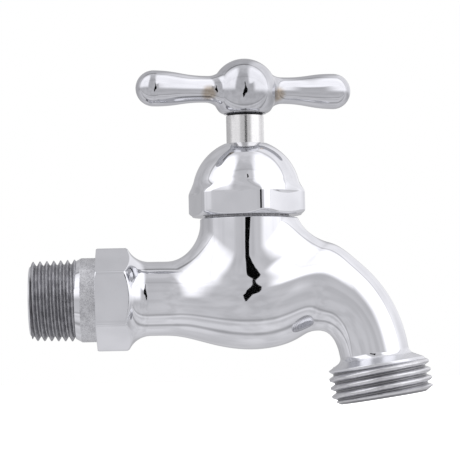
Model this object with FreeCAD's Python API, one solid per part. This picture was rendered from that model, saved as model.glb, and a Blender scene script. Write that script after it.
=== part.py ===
import FreeCAD, Part
import math
import os

# Hose bibb: a compression tap with a tapered pipe thread inlet, a domed bonnet nut,
# a tee handle and a hose thread outlet. Millimetres, +Z up along the stem.
# The origin is the middle of the inlet's open end, and X runs along the inlet's axis.

# Clearances, the bevel on turned edges, and how far a cutting shape runs past what it cuts
THREAD_CLEARANCE = 0.05
RUNNING_CLEARANCE = 0.05
LOOSE_CLEARANCE = 0.30
EDGE_BEVEL = 0.6
CUT_OVERRUN = 1.0

# Inlet: tapered pipe thread, plain land and wrench hexagon
INLET_THREAD_END_R = 10.36
INLET_THREAD_LENGTH = 13.2
PIPE_TAPER = 1.0 / 32.0
PIPE_PITCH = 1.814
PIPE_THREAD_DEPTH = 1.1
PIPE_THREAD_CREST = 0.12
PIPE_THREAD_TURN = 167.5
INLET_RUNOUT = 1.2
INLET_RUNOUT_R = 10.2
INLET_LEAD_IN = 0.9
INLET_LAND_R = 11.05
INLET_LAND_LENGTH = 4.3
INLET_LAND_BEVEL = 0.4
INLET_HEX_FLATS = 23.8
INLET_HEX_LENGTH = 8.6
INLET_HEX_FRONT_BEVEL = 0.4
INLET_HEX_BACK_BEVEL = 0.6
INLET_BORE_R = 6.4

# Barrel between the hexagon and the valve chamber
BARREL_R = 9.72
BARREL_FILLET = 6.3
BARREL_FILLET_END = 5.4
BARREL_END = 33.0

# Belly and spout of the casting
BONNET_X = 57.4
BELLY_R = 13.1
BELLY_SIDE_R = 13.9
BELLY_DROP = 0.7
SHOULDER_R = 12.15
SHOULDER_SIDE_R = 9.95
SHOULDER_REACH = 19.2
SHOULDER_RISE = 1.77
SHOULDER_TILT = 18.6
SPOUT_R = 9.05
SPOUT_OFFSET = 0.5
SPOUT_START_PULL = 8.7
SPOUT_END_PULL = 9.0
SPOUT_NARROWING = 3.4
SPOUT_SECTIONS = 7

# Oval sections from the barrel's end to the bonnet's axis: share of the way, share of the drop,
# shares of the change in upright and sideways radius, and the fall in degrees
BELLY_SWELL = (
    (0.184, 0.10, 0.02, 0.04, 0.0),
    (0.451, 0.60, 0.30, 0.44, 2.0),
    (0.717, 1.00, 0.74, 0.82, 1.0),
)
# Sections from the bonnet's axis to the shoulder, with the same shares and the share of its tilt
SHOULDER_TURN = (
    (0.417, 0.324, -0.105, 0.25, 0.108),
    (0.771, 0.931, 0.105, 0.73, 0.511),
)
# Sections of the passage that dips from the barrel to under the seat, as for the swell
UNDERSEAT_DIP = (
    (0.205, 0.15, 0.083, 18.0),
    (0.508, 0.60, 0.500, 22.0),
    (0.754, 0.93, 0.917, 10.0),
)
# Sections where water leaves the chamber: reach past the bonnet's axis, height, fall, radius
CHAMBER_EXIT = (
    (2.0, 10.2, 6.0, 5.9),
    (10.0, 8.0, 22.0, 6.2),
)

# Outlet with its hose thread
OUTLET_REACH = 34.87
OUTLET_DROP = 27.23
OUTLET_TILT = 8.0
HOSE_THREAD_R = 13.35
HOSE_THREAD_LENGTH = 8.5
HOSE_LEAD_IN = 1.2
HOSE_LEAD_IN_DEPTH = 1.7
HOSE_PITCH = 2.209
HOSE_THREAD_DEPTH = 1.25
HOSE_THREAD_CREST = 0.45
HOSE_THREAD_TURN = -24.6
HOSE_THREAD_RUNOUT = 0.35
OUTLET_NECK_LENGTH = 2.9
OUTLET_SHOULDER_R = 12.6
OUTLET_SHOULDER = 0.5
OUTLET_FILLET = 2.3
OUTLET_FLARE_END = 1.27
OUTLET_BORE_R = 7.6
OUTLET_MOUTH_R = 10.2
OUTLET_MOUTH_DEPTH = 1.0

# Neck that carries the bonnet
NECK_R = 12.35
NECK_ROOT = -2.0
NECK_TOP = 20.6
NECK_FILLET = 9.0
NECK_SPOUT_FILLET = 12.5
NECK_THREAD_R = 11.0
NECK_THREAD_TOP = 29.0
NECK_BORE_R = 8.8

# Valve chamber, partition and seat
CHAMBER_FLOOR = 4.0
SEAT_BODY_R = 7.0
SEAT_BODY_LENGTH = 4.6
SEAT_RUNOUT = 1.0
SEAT_FLANGE_R = 7.8
SEAT_FLANGE = 0.8
SEAT_CROWN = 1.2
SEAT_CROWN_R = 6.3
SEAT_HEX_FLATS = 9.0
UNDERSEAT_R = 5.2
UNDERSEAT_DEPTH = 6.6
RISER_R = 4.8
SHOULDER_PASSAGE_R = 6.9
SHOULDER_PASSAGE_RISE = 3.9
SPOUT_BORE_R = 6.7

# Seat washer, its holder and its screw
WASHER_R = 7.35
WASHER_THICKNESS = 3.3
WASHER_HOLE_R = 1.8
HOLDER_R = 7.9
HOLDER_LIP = 1.7
HOLDER_PLATE = 2.0
SPIGOT_R = 2.9
SPIGOT_LENGTH = 6.2
SCREW_R = 1.65
SCREW_LENGTH = 8.0
SCREW_HEAD_R = 3.3
SCREW_HEAD = 1.7
SCREW_SLOT = 0.8
SCREW_SLOT_DEPTH = 0.8

# Stem
STEM_COLLAR_R = 7.2
STEM_COLLAR = 1.8
STEM_THREAD_R = 6.25
STEM_THREAD_LENGTH = 12.1
STEM_R = 4.95
STEM_TOP_R = 4.0
STEM_TOP_LENGTH = 8.4

# Stem guide and its gasket
GUIDE_BARREL_R = 8.7
GUIDE_BOTTOM = 19.0
GUIDE_FLANGE_R = 10.8
GUIDE_FLANGE = 1.8
GASKET = 0.5

# Packing under the dome
PACKING_WASHER = 0.8
PACKING_R = 8.45

# Bonnet nut: hexagon and dome in one piece
NUT_BOTTOM = 21.2
NUT_FLATS = 28.0
NUT_TURN = 14.0
NUT_BOTTOM_BEVEL_R = 14.0
NUT_BOTTOM_BEVEL = 1.2
NUT_TOP_BEVEL_FROM = 27.2
NUT_TOP_BEVEL_TO = 29.8
NUT_TOP_BEVEL_R = 13.8
DOME_R = 14.2
DOME_CENTRE = 27.3
DOME_WALL = 1.3
DOME_RECESS_R = 5.7
DOME_RECESS = 0.5

# Tee handle
HANDLE_TURN = 20.0
HUB_R = 8.6
HUB_CENTRE = 54.25
HUB_BOTTOM = 48.2
HUB_CORNER = 0.9
HANDLE_RECESS = 1.4
ARM_HEIGHT = 54.6
ARM_NECK_R = 3.5
ARM_NECK_REACH = 11.0
ARM_SWELL_R = 4.7
ARM_REACH = 29.9
ARM_FILLET = 3.0
ARM_PULL = 0.455

# Places that follow from the sizes above
HEX_FRONT = INLET_THREAD_LENGTH + INLET_LAND_LENGTH
HEX_BACK = HEX_FRONT + INLET_HEX_LENGTH
SEAT_TOP = CHAMBER_FLOOR + SEAT_FLANGE + SEAT_CROWN
SEAT_BOTTOM = CHAMBER_FLOOR - SEAT_BODY_LENGTH
WASHER_TOP = SEAT_TOP + WASHER_THICKNESS
STEM_BOTTOM = WASHER_TOP + HOLDER_PLATE
STEM_THREAD_FROM = STEM_BOTTOM + STEM_COLLAR
STEM_THREAD_TO = STEM_THREAD_FROM + STEM_THREAD_LENGTH
FLANGE_BOTTOM = NECK_THREAD_TOP + GASKET
FLANGE_TOP = FLANGE_BOTTOM + GUIDE_FLANGE
PACKING_BOTTOM = FLANGE_TOP + PACKING_WASHER
PACKING_BORE_R = PACKING_R + RUNNING_CLEARANCE
PACKING_TOP = DOME_CENTRE + math.sqrt((DOME_R - DOME_WALL) ** 2 - PACKING_BORE_R ** 2)
STEM_SHOULDER = HUB_BOTTOM + HANDLE_RECESS
STEM_TOP = STEM_SHOULDER + STEM_TOP_LENGTH
OUTLET_X = BONNET_X + OUTLET_REACH


def vector(x, z, y=0.0):
    """Return the point at x along the inlet, z up and y across."""
    return FreeCAD.Vector(x, y, z)


class Outline:
    """A closed outline in the XZ plane, drawn point by point and then revolved."""

    def __init__(self, x, z):
        self.start = vector(x, z)
        self.last = self.start
        self.edges = []

    def line(self, x, z):
        """Draw a straight run to x, z."""
        end = vector(x, z)
        self.edges.append(Part.makeLine(self.last, end))
        self.last = end
        return self

    def arc(self, centre_x, centre_z, x, z):
        """Draw the short arc about a centre to x, z."""
        centre = vector(centre_x, centre_z)
        end = vector(x, z)
        radius = (end - centre).Length
        middle = (self.last - centre).normalize() + (end - centre).normalize()
        middle = centre + middle.normalize() * radius
        self.edges.append(Part.Arc(self.last, middle, end).toShape())
        self.last = end
        return self

    def revolve(self, base, axis):
        """Close the outline and turn it once round the axis through base."""
        self.line(self.start.x, self.start.z)
        face = Part.Face(Part.Wire(self.edges))
        return face.revolve(base, axis, 360.0)


def turned_about_z(outline):
    """Revolve an outline drawn as radius and height about the Z axis."""
    return outline.revolve(vector(0, 0), vector(0, 1))


def turned_about_x(outline):
    """Revolve an outline drawn as length and radius about the X axis."""
    return outline.revolve(vector(0, 0), vector(1, 0))


def disc(radius, bottom, top):
    """Return an upright cylinder about the Z axis from bottom to top."""
    return Part.makeCylinder(radius, top - bottom, vector(0, bottom))


def ring(outer, inner, bottom, top):
    """Return an upright ring about the Z axis."""
    bore = disc(inner, bottom - CUT_OVERRUN, top + CUT_OVERRUN)
    return disc(outer, bottom, top).cut(bore)


def corner_radius(flats):
    """Return the radius of a hexagon's corners from its size across flats."""
    return flats / 2.0 / math.cos(math.radians(30.0))


def hexagon(flats, bottom, top, turn=0.0):
    """Return an upright hexagonal prism whose flats are the given distance apart."""
    radius = corner_radius(flats)
    corners = []
    for i in range(7):
        angle = math.radians(60.0 * i + turn)
        corners.append(vector(radius * math.cos(angle), bottom, radius * math.sin(angle)))
    face = Part.Face(Part.makePolygon(corners))
    return face.extrude(vector(0, top - bottom))


def on_bonnet_axis(shape):
    """Move a shape made about the Z axis to the axis of stem and bonnet."""
    shape.translate(vector(BONNET_X, 0))
    return shape


def section(x, z, tilt, radius, side_radius=None):
    """Return a round or oval section across the flow at x, z, begun at its top; tilt is its fall."""
    wire = Part.Wire(Part.makeCircle(radius))
    if side_radius is not None:
        stretch = FreeCAD.Matrix()
        stretch.scale(1.0, side_radius / radius, 1.0)
        wire = Part.Wire(wire.transformGeometry(stretch).Edges)
    turn = FreeCAD.Rotation(FreeCAD.Vector(0, 1, 0), 90.0 + tilt)
    turn = turn.multiply(FreeCAD.Rotation(FreeCAD.Vector(0, 0, 1), 180.0))
    wire.Placement = FreeCAD.Placement(vector(x, z), turn)
    return wire


def at_outlet(shape, offset=0.0):
    """Move a shape whose open end is at the origin, and which rises along Z, to the outlet."""
    shape.translate(vector(-offset, 0))
    shape.rotate(vector(0, 0), FreeCAD.Vector(0, 1, 0), -OUTLET_TILT)
    shape.translate(vector(OUTLET_X, -OUTLET_DROP))
    return shape


def spout_sections(start_r, end_r, start_rise, end_offset, start_side_r=None):
    """Return sections along the spout, from the casting's shoulder to the outlet's neck."""
    fall = math.radians(SHOULDER_TILT)
    lean = math.radians(OUTLET_TILT)
    p0 = vector(BONNET_X + SHOULDER_REACH, start_rise)
    p1 = p0 + vector(math.cos(fall), -math.sin(fall)) * SPOUT_START_PULL
    p3 = at_outlet(Part.Vertex(0, 0, HOSE_THREAD_LENGTH + OUTLET_NECK_LENGTH), end_offset).Point
    p2 = p3 + vector(-math.sin(lean), math.cos(lean)) * SPOUT_END_PULL
    circles = []
    for i in range(SPOUT_SECTIONS):
        t = i / (SPOUT_SECTIONS - 1.0)
        s = 1.0 - t
        point = p0 * s ** 3 + p1 * (3 * s * s * t) + p2 * (3 * s * t * t) + p3 * t ** 3
        way = (p1 - p0) * (s * s) + (p2 - p1) * (2 * s * t) + (p3 - p2) * (t * t)
        tilt = math.degrees(math.atan2(-way.z, way.x))
        narrowed = s ** SPOUT_NARROWING
        side_r = None if start_side_r is None else end_r + (start_side_r - end_r) * narrowed
        circles.append(section(point.x, point.z, tilt, end_r + (start_r - end_r) * narrowed, side_r))
    return circles


def between(first, last, share):
    """Return the value a share of the way from the first to the last."""
    return first + (last - first) * share


def casting_outside():
    """Return the solid outside of barrel, belly and spout."""
    shoulder_x = BONNET_X + SHOULDER_REACH
    ovals = [section(BARREL_END, 0.0, 0.0, BARREL_R, BARREL_R)]
    for way, drop, swell, side_swell, fall in BELLY_SWELL:
        x = between(BARREL_END, BONNET_X, way)
        ovals.append(section(x, -BELLY_DROP * drop, fall, between(BARREL_R, BELLY_R, swell),
                             between(BARREL_R, BELLY_SIDE_R, side_swell)))
    ovals.append(section(BONNET_X, -BELLY_DROP, 0.0, BELLY_R, BELLY_SIDE_R))
    for way, rise, change, side_change, tilt in SHOULDER_TURN:
        x = between(BONNET_X, shoulder_x, way)
        z = between(-BELLY_DROP, SHOULDER_RISE, rise)
        ovals.append(section(x, z, SHOULDER_TILT * tilt, between(BELLY_R, SHOULDER_R, change),
                             between(BELLY_SIDE_R, SHOULDER_SIDE_R, side_change)))
    ovals += spout_sections(SHOULDER_R, SPOUT_R, SHOULDER_RISE, SPOUT_OFFSET, SHOULDER_SIDE_R)
    return Part.makeLoft(ovals, True)


def thread_groove(crest_r, taper, pitch, depth, crest, top, turn):
    """Return the helical V between the turns of a right-hand thread that stands on the Z axis.

    It begins a pitch below the open end, turned from the X axis, and its middle ends at the top.
    """
    start_r = crest_r - pitch * taper
    helix = Part.makeHelix(pitch, top + pitch, start_r, math.degrees(math.atan(taper)))
    mouth = (pitch - crest) / 2.0
    wide = pitch * 0.49
    outer_r = start_r + depth * (wide / mouth - 1.0)
    corners = [vector(start_r - depth, 0), vector(outer_r, wide), vector(outer_r, -wide)]
    sweep = Part.BRepOffsetAPI.MakePipeShell(Part.Wire(helix.Edges))
    sweep.setFrenetMode(True)
    sweep.add(Part.makePolygon(corners + corners[:1]))
    sweep.build()
    sweep.makeSolid()
    groove = sweep.shape()
    groove.rotate(vector(0, 0), vector(0, 1), turn)
    groove.translate(vector(0, -pitch))
    return groove


def inlet_thread():
    """Return the tapered pipe thread with its run-out and the plain land, along the X axis."""
    runout = INLET_THREAD_LENGTH - INLET_RUNOUT
    blank = Outline(0, 0)
    blank.line(INLET_THREAD_END_R - INLET_LEAD_IN, 0)
    blank.line(INLET_THREAD_END_R + INLET_LEAD_IN * PIPE_TAPER, INLET_LEAD_IN)
    blank.line(INLET_THREAD_END_R + runout * PIPE_TAPER, runout)
    blank.line(INLET_RUNOUT_R, runout)
    blank.line(INLET_LAND_R, INLET_THREAD_LENGTH + INLET_LAND_BEVEL)
    blank.line(INLET_LAND_R, HEX_FRONT + INLET_HEX_FRONT_BEVEL)
    blank.line(0, HEX_FRONT + INLET_HEX_FRONT_BEVEL)
    groove = thread_groove(INLET_THREAD_END_R, PIPE_TAPER, PIPE_PITCH, PIPE_THREAD_DEPTH,
                           PIPE_THREAD_CREST, runout, PIPE_THREAD_TURN)
    thread = turned_about_z(blank).cut(groove)
    thread.rotate(vector(0, 0), FreeCAD.Vector(0, 1, 0), 90.0)
    return thread


def inlet_outside():
    """Return the inlet: thread, land, and the hexagon that a fillet cuts back to the barrel."""
    hex_r = corner_radius(INLET_HEX_FLATS)

    fillet_top = BARREL_R + BARREL_FILLET
    fillet_end = HEX_BACK + BARREL_FILLET_END
    bevel_r = hex_r - INLET_HEX_BACK_BEVEL
    bevel_x = fillet_end - math.sqrt(BARREL_FILLET ** 2 - (fillet_top - bevel_r) ** 2)
    envelope = Outline(HEX_FRONT, 0)
    envelope.line(HEX_FRONT, hex_r - INLET_HEX_FRONT_BEVEL)
    envelope.line(HEX_FRONT + INLET_HEX_FRONT_BEVEL, hex_r)
    envelope.line(bevel_x - INLET_HEX_BACK_BEVEL, hex_r)
    envelope.line(bevel_x, bevel_r)
    envelope.arc(fillet_end, fillet_top, fillet_end, BARREL_R)
    envelope.line(BARREL_END, BARREL_R)
    envelope.line(BARREL_END, 0)
    prism = hexagon(INLET_HEX_FLATS, HEX_FRONT, BARREL_END)
    prism.rotate(vector(0, 0), FreeCAD.Vector(0, 1, 0), 90.0)
    return inlet_thread().fuse(prism.common(turned_about_x(envelope)))


def outlet_outside():
    """Return the turned outlet: the hose thread and the flare to the spout."""
    thread = Outline(0, 0)
    thread.line(HOSE_THREAD_R - HOSE_LEAD_IN_DEPTH, 0)
    thread.line(HOSE_THREAD_R, HOSE_LEAD_IN)
    thread.line(HOSE_THREAD_R, HOSE_THREAD_LENGTH)
    thread.line(0, HOSE_THREAD_LENGTH)

    neck_top = HOSE_THREAD_LENGTH + OUTLET_NECK_LENGTH
    shoulder_top = HOSE_THREAD_LENGTH + OUTLET_SHOULDER
    centre_r = SPOUT_R + OUTLET_FILLET
    centre_up = neck_top + OUTLET_FLARE_END
    across = OUTLET_FILLET * math.cos(math.radians(45.0))
    flare = Outline(0, HOSE_LEAD_IN)
    flare.line(OUTLET_SHOULDER_R, HOSE_LEAD_IN)
    flare.line(OUTLET_SHOULDER_R, shoulder_top)
    flare.line(centre_r - across, centre_up - across)
    flare.arc(centre_r, centre_up, SPOUT_R, centre_up)
    flare.line(0, centre_up)
    to_spout = turned_about_z(flare)
    to_spout.translate(vector(-SPOUT_OFFSET / 2.0, 0))
    groove = thread_groove(HOSE_THREAD_R, 0.0, HOSE_PITCH, HOSE_THREAD_DEPTH, HOSE_THREAD_CREST,
                           HOSE_THREAD_LENGTH + HOSE_THREAD_RUNOUT, HOSE_THREAD_TURN)
    return at_outlet(turned_about_z(thread).fuse(to_spout).cut(groove))


def water_way():
    """Return the hollow of the casting, from the inlet under the seat and out of the spout."""
    inlet = Part.makeCylinder(INLET_BORE_R, BARREL_END + CUT_OVERRUN,
                              vector(-CUT_OVERRUN, 0), vector(1, 0))
    dip = [section(BARREL_END, 0.0, 0.0, INLET_BORE_R)]
    for way, drop, change, fall in UNDERSEAT_DIP:
        x = between(BARREL_END, BONNET_X, way)
        dip.append(section(x, -UNDERSEAT_DEPTH * drop, fall, between(INLET_BORE_R, UNDERSEAT_R, change)))
    dip.append(section(BONNET_X, -UNDERSEAT_DEPTH, 0.0, UNDERSEAT_R))
    under = Part.makeLoft(dip, True)
    end = Part.makeSphere(UNDERSEAT_R, vector(BONNET_X, -UNDERSEAT_DEPTH))
    riser = on_bonnet_axis(disc(RISER_R, -UNDERSEAT_DEPTH, SEAT_BOTTOM + CUT_OVERRUN))
    seat_hole = on_bonnet_axis(disc(SEAT_BODY_R + THREAD_CLEARANCE, SEAT_BOTTOM - SEAT_RUNOUT,
                                    CHAMBER_FLOOR + CUT_OVERRUN))
    chamber = on_bonnet_axis(disc(NECK_BORE_R, CHAMBER_FLOOR, NECK_THREAD_TOP + CUT_OVERRUN))
    exit_circles = [section(BONNET_X + reach, z, fall, r) for reach, z, fall, r in CHAMBER_EXIT]
    exit_circles += spout_sections(SHOULDER_PASSAGE_R, SPOUT_BORE_R, SHOULDER_PASSAGE_RISE, 0.0)
    spout = Part.makeLoft(exit_circles, True)
    bore = at_outlet(disc(OUTLET_BORE_R, -CUT_OVERRUN, HOSE_THREAD_LENGTH + OUTLET_NECK_LENGTH))
    mouth = Outline(0, -CUT_OVERRUN)
    mouth.line(OUTLET_MOUTH_R, -CUT_OVERRUN)
    mouth.line(OUTLET_MOUTH_R, OUTLET_MOUTH_DEPTH)
    mouth.line(OUTLET_BORE_R, OUTLET_MOUTH_DEPTH)
    mouth.line(0, OUTLET_MOUTH_DEPTH)
    hollow = inlet
    for piece in (under, end, riser, seat_hole, chamber, spout, bore, at_outlet(turned_about_z(mouth))):
        hollow = hollow.fuse(piece)
    return hollow


def casting_with_neck():
    """Return barrel, belly and spout with the neck, whose root fillet opens toward the spout."""
    above = NECK_TOP + 2.0 * NECK_SPOUT_FILLET
    neck = on_bonnet_axis(disc(NECK_R, NECK_ROOT, above))
    shell = casting_outside().fuse(neck)
    box = shell.BoundBox
    far_side = Part.makeBox(box.XLength, box.YLength, box.ZLength, FreeCAD.Vector(box.XMin, 0.0, box.ZMin))
    half = shell.common(far_side)
    half = half.makeFillet(NECK_FILLET, NECK_SPOUT_FILLET, neck_seam(half))
    other = half.mirror(vector(0, 0), FreeCAD.Vector(0, 1, 0))
    whole = half.fuse(other).removeSplitter()
    return whole.cut(on_bonnet_axis(disc(3.0 * NECK_R, NECK_TOP, above + CUT_OVERRUN)))


def neck_seam(half):
    """Return the edge, from inlet side to spout side, where the neck's wall meets the casting."""
    seam = []
    for edge in half.Edges:
        if edge.Degenerated:
            continue
        points = edge.discretize(9)
        on_wall = all(abs(math.hypot(p.x - BONNET_X, p.y) - NECK_R) < 0.01 for p in points)
        level = max(p.z for p in points) - min(p.z for p in points) < 1e-6
        upright = max(math.hypot(p.x - points[0].x, p.y - points[0].y) for p in points) < 1e-6
        if on_wall and not level and not upright:
            seam.append(edge)
    return seam


def body():
    """Return the cast body with its neck, partition and both threaded ends."""
    shell = casting_with_neck()
    shell = shell.fuse(on_bonnet_axis(disc(NECK_THREAD_R, NECK_ROOT, NECK_THREAD_TOP)))
    shell = shell.fuse(inlet_outside()).fuse(outlet_outside())
    return shell.cut(water_way()).removeSplitter()


def valve_seat():
    """Return the screwed seat: a flanged bush with a raised crown and a hexagonal hole."""
    flange_top = CHAMBER_FLOOR + SEAT_FLANGE
    crown_inner = corner_radius(SEAT_HEX_FLATS)
    crown_middle = (crown_inner + SEAT_CROWN_R) / 2.0
    crown_edge = (SEAT_CROWN_R - crown_inner) / 2.0
    turned = Outline(0, SEAT_BOTTOM)
    turned.line(SEAT_BODY_R - EDGE_BEVEL, SEAT_BOTTOM)
    turned.line(SEAT_BODY_R, SEAT_BOTTOM + EDGE_BEVEL)
    turned.line(SEAT_BODY_R, CHAMBER_FLOOR)
    turned.line(SEAT_FLANGE_R, CHAMBER_FLOOR)
    turned.line(SEAT_FLANGE_R, flange_top)
    turned.line(SEAT_CROWN_R, flange_top)
    turned.line(SEAT_CROWN_R, SEAT_TOP - crown_edge)
    turned.arc(crown_middle, SEAT_TOP - crown_edge, crown_middle, SEAT_TOP)
    turned.arc(crown_middle, SEAT_TOP - crown_edge, crown_inner, SEAT_TOP - crown_edge)
    turned.line(0, SEAT_TOP - crown_edge)
    hole = hexagon(SEAT_HEX_FLATS, SEAT_BOTTOM - CUT_OVERRUN, SEAT_TOP + CUT_OVERRUN)
    return on_bonnet_axis(turned_about_z(turned).cut(hole))


def seat_washer():
    """Return the flat rubber washer that closes on the seat."""
    return on_bonnet_axis(ring(WASHER_R, WASHER_HOLE_R, SEAT_TOP, WASHER_TOP))


def disc_holder():
    """Return the cup that holds the seat washer, with the spigot that turns in the stem."""
    pocket_r = WASHER_R + RUNNING_CLEARANCE
    spigot_top = STEM_BOTTOM + SPIGOT_LENGTH
    turned = Outline(0, WASHER_TOP)
    turned.line(pocket_r, WASHER_TOP)
    turned.line(pocket_r, WASHER_TOP - HOLDER_LIP)
    turned.line(HOLDER_R, WASHER_TOP - HOLDER_LIP)
    turned.line(HOLDER_R, STEM_BOTTOM - EDGE_BEVEL)
    turned.line(HOLDER_R - EDGE_BEVEL, STEM_BOTTOM)
    turned.line(SPIGOT_R, STEM_BOTTOM)
    turned.line(SPIGOT_R, spigot_top - EDGE_BEVEL)
    turned.line(SPIGOT_R - EDGE_BEVEL, spigot_top)
    turned.line(0, spigot_top)
    hole = disc(SCREW_R, WASHER_TOP - CUT_OVERRUN, SEAT_TOP + SCREW_LENGTH + LOOSE_CLEARANCE)
    return on_bonnet_axis(turned_about_z(turned).cut(hole))


def washer_screw():
    """Return the slotted screw that clamps the seat washer in its holder."""
    shank = disc(SCREW_R, SEAT_TOP, SEAT_TOP + SCREW_LENGTH)
    head = Outline(0, SEAT_TOP - SCREW_HEAD)
    head.line(SCREW_HEAD_R - EDGE_BEVEL, SEAT_TOP - SCREW_HEAD)
    head.line(SCREW_HEAD_R, SEAT_TOP - SCREW_HEAD + EDGE_BEVEL)
    head.line(SCREW_HEAD_R, SEAT_TOP)
    head.line(0, SEAT_TOP)
    reach = SCREW_HEAD_R + CUT_OVERRUN
    slot = Part.makeBox(2.0 * reach, SCREW_SLOT, SCREW_SLOT_DEPTH + CUT_OVERRUN)
    slot.translate(vector(-reach, SEAT_TOP - SCREW_HEAD - CUT_OVERRUN, -SCREW_SLOT / 2.0))
    return on_bonnet_axis(shank.fuse(turned_about_z(head)).cut(slot).removeSplitter())


def stem():
    """Return the stem: collar, screw thread envelope, polished shank and handle seat."""
    turned = Outline(0, STEM_BOTTOM)
    turned.line(STEM_COLLAR_R, STEM_BOTTOM)
    turned.line(STEM_COLLAR_R, STEM_THREAD_FROM)
    turned.line(STEM_THREAD_R, STEM_THREAD_FROM)
    turned.line(STEM_THREAD_R, STEM_THREAD_TO - EDGE_BEVEL)
    turned.line(STEM_THREAD_R - EDGE_BEVEL, STEM_THREAD_TO)
    turned.line(STEM_R, STEM_THREAD_TO)
    turned.line(STEM_R, STEM_SHOULDER)
    turned.line(STEM_TOP_R, STEM_SHOULDER)
    turned.line(STEM_TOP_R, STEM_TOP - EDGE_BEVEL)
    turned.line(STEM_TOP_R - EDGE_BEVEL, STEM_TOP)
    turned.line(0, STEM_TOP)
    socket = disc(SPIGOT_R + RUNNING_CLEARANCE, STEM_BOTTOM - CUT_OVERRUN,
                  STEM_BOTTOM + SPIGOT_LENGTH + LOOSE_CLEARANCE)
    return on_bonnet_axis(turned_about_z(turned).cut(socket))


def stem_guide():
    """Return the flanged bush whose thread carries the stem."""
    turned = Outline(0, GUIDE_BOTTOM)
    turned.line(GUIDE_BARREL_R - EDGE_BEVEL, GUIDE_BOTTOM)
    turned.line(GUIDE_BARREL_R, GUIDE_BOTTOM + EDGE_BEVEL)
    turned.line(GUIDE_BARREL_R, FLANGE_BOTTOM)
    turned.line(GUIDE_FLANGE_R, FLANGE_BOTTOM)
    turned.line(GUIDE_FLANGE_R, FLANGE_TOP)
    turned.line(0, FLANGE_TOP)
    hole = disc(STEM_THREAD_R + THREAD_CLEARANCE, GUIDE_BOTTOM - CUT_OVERRUN, FLANGE_TOP + CUT_OVERRUN)
    return on_bonnet_axis(turned_about_z(turned).cut(hole))


def guide_gasket():
    """Return the fibre ring between the neck's rim and the guide's flange."""
    inner = GUIDE_BARREL_R + RUNNING_CLEARANCE
    return on_bonnet_axis(ring(GUIDE_FLANGE_R, inner, NECK_THREAD_TOP, FLANGE_BOTTOM))


def packing_washer():
    """Return the thin metal washer under the packing."""
    return on_bonnet_axis(ring(PACKING_R, STEM_R + LOOSE_CLEARANCE, FLANGE_TOP, PACKING_BOTTOM))


def stem_packing():
    """Return the packing ring that seals the stem under the dome."""
    inner = STEM_R + RUNNING_CLEARANCE
    return on_bonnet_axis(ring(PACKING_R, inner, PACKING_BOTTOM, PACKING_TOP))


def bonnet_nut():
    """Return the bonnet nut: a hexagon under a dome, hollow over the neck and the packing."""
    corner_r = corner_radius(NUT_FLATS)
    bevel = Outline(0, NUT_BOTTOM)
    bevel.line(NUT_BOTTOM_BEVEL_R, NUT_BOTTOM)
    bevel.line(corner_r, NUT_BOTTOM + NUT_BOTTOM_BEVEL)
    bevel.line(corner_r, NUT_TOP_BEVEL_FROM)
    bevel.line(NUT_TOP_BEVEL_R, NUT_TOP_BEVEL_TO)
    bevel.line(0, NUT_TOP_BEVEL_TO)
    prism = hexagon(NUT_FLATS, NUT_BOTTOM, NUT_TOP_BEVEL_TO, 60.0 - NUT_TURN)
    shell = prism.common(turned_about_z(bevel))
    dome = Part.makeSphere(DOME_R, vector(0, DOME_CENTRE))
    dome = dome.cut(disc(2.0 * DOME_R, DOME_CENTRE - 2.0 * DOME_R, NUT_TOP_BEVEL_FROM))
    shell = shell.fuse(dome)
    dome_top = DOME_CENTRE + DOME_R
    recess_floor = DOME_CENTRE + math.sqrt(DOME_R ** 2 - DOME_RECESS_R ** 2) - DOME_RECESS
    hollow = disc(NECK_THREAD_R + THREAD_CLEARANCE, NUT_BOTTOM - CUT_OVERRUN, FLANGE_TOP + LOOSE_CLEARANCE)
    hollow = hollow.fuse(disc(PACKING_BORE_R, FLANGE_TOP, PACKING_TOP))
    hollow = hollow.fuse(disc(STEM_R + 2.0 * RUNNING_CLEARANCE, FLANGE_TOP, dome_top + CUT_OVERRUN))
    hollow = hollow.fuse(disc(DOME_RECESS_R, recess_floor, dome_top + CUT_OVERRUN))
    return on_bonnet_axis(shell.cut(hollow).removeSplitter())


def handle():
    """Return the tee handle: a ball hub with two swelling arms."""
    hub = Part.makeSphere(HUB_R, vector(0, HUB_CENTRE))
    end_x = ARM_REACH - ARM_SWELL_R
    arm = Outline(0, 0)
    arm.line(0, ARM_NECK_R)
    arm.line(ARM_NECK_REACH, ARM_NECK_R)
    pull = (end_x - ARM_NECK_REACH) * ARM_PULL
    swell = Part.BezierCurve()
    swell.setPoles([
        arm.last,
        vector(ARM_NECK_REACH + pull, ARM_NECK_R),
        vector(end_x - pull, ARM_SWELL_R),
        vector(end_x, ARM_SWELL_R),
    ])
    arm.edges.append(swell.toShape())
    arm.last = vector(end_x, ARM_SWELL_R)
    arm.arc(end_x, 0, ARM_REACH, 0)
    right = turned_about_x(arm)
    right.translate(vector(0, ARM_HEIGHT))
    left = right.copy()
    left.rotate(vector(0, 0), vector(0, 1), 180.0)
    tee = hub.fuse(right).fuse(left).removeSplitter()
    tee = tee.makeFillet(ARM_FILLET, arm_seams(tee))
    tee = tee.cut(disc(2.0 * HUB_R, HUB_CENTRE - 2.0 * HUB_R, HUB_BOTTOM))
    rim = [e for e in tee.Edges if not e.Degenerated and e.BoundBox.ZMax < HUB_BOTTOM + 0.01]
    tee = tee.makeFillet(HUB_CORNER, rim)
    seat = disc(STEM_TOP_R + THREAD_CLEARANCE, HUB_BOTTOM - CUT_OVERRUN, STEM_TOP + LOOSE_CLEARANCE)
    recess = disc(STEM_R + LOOSE_CLEARANCE, HUB_BOTTOM - CUT_OVERRUN, STEM_SHOULDER)
    tee = tee.cut(seat.fuse(recess))
    tee.rotate(vector(0, 0), vector(0, 1), HANDLE_TURN)
    return on_bonnet_axis(tee)


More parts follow.
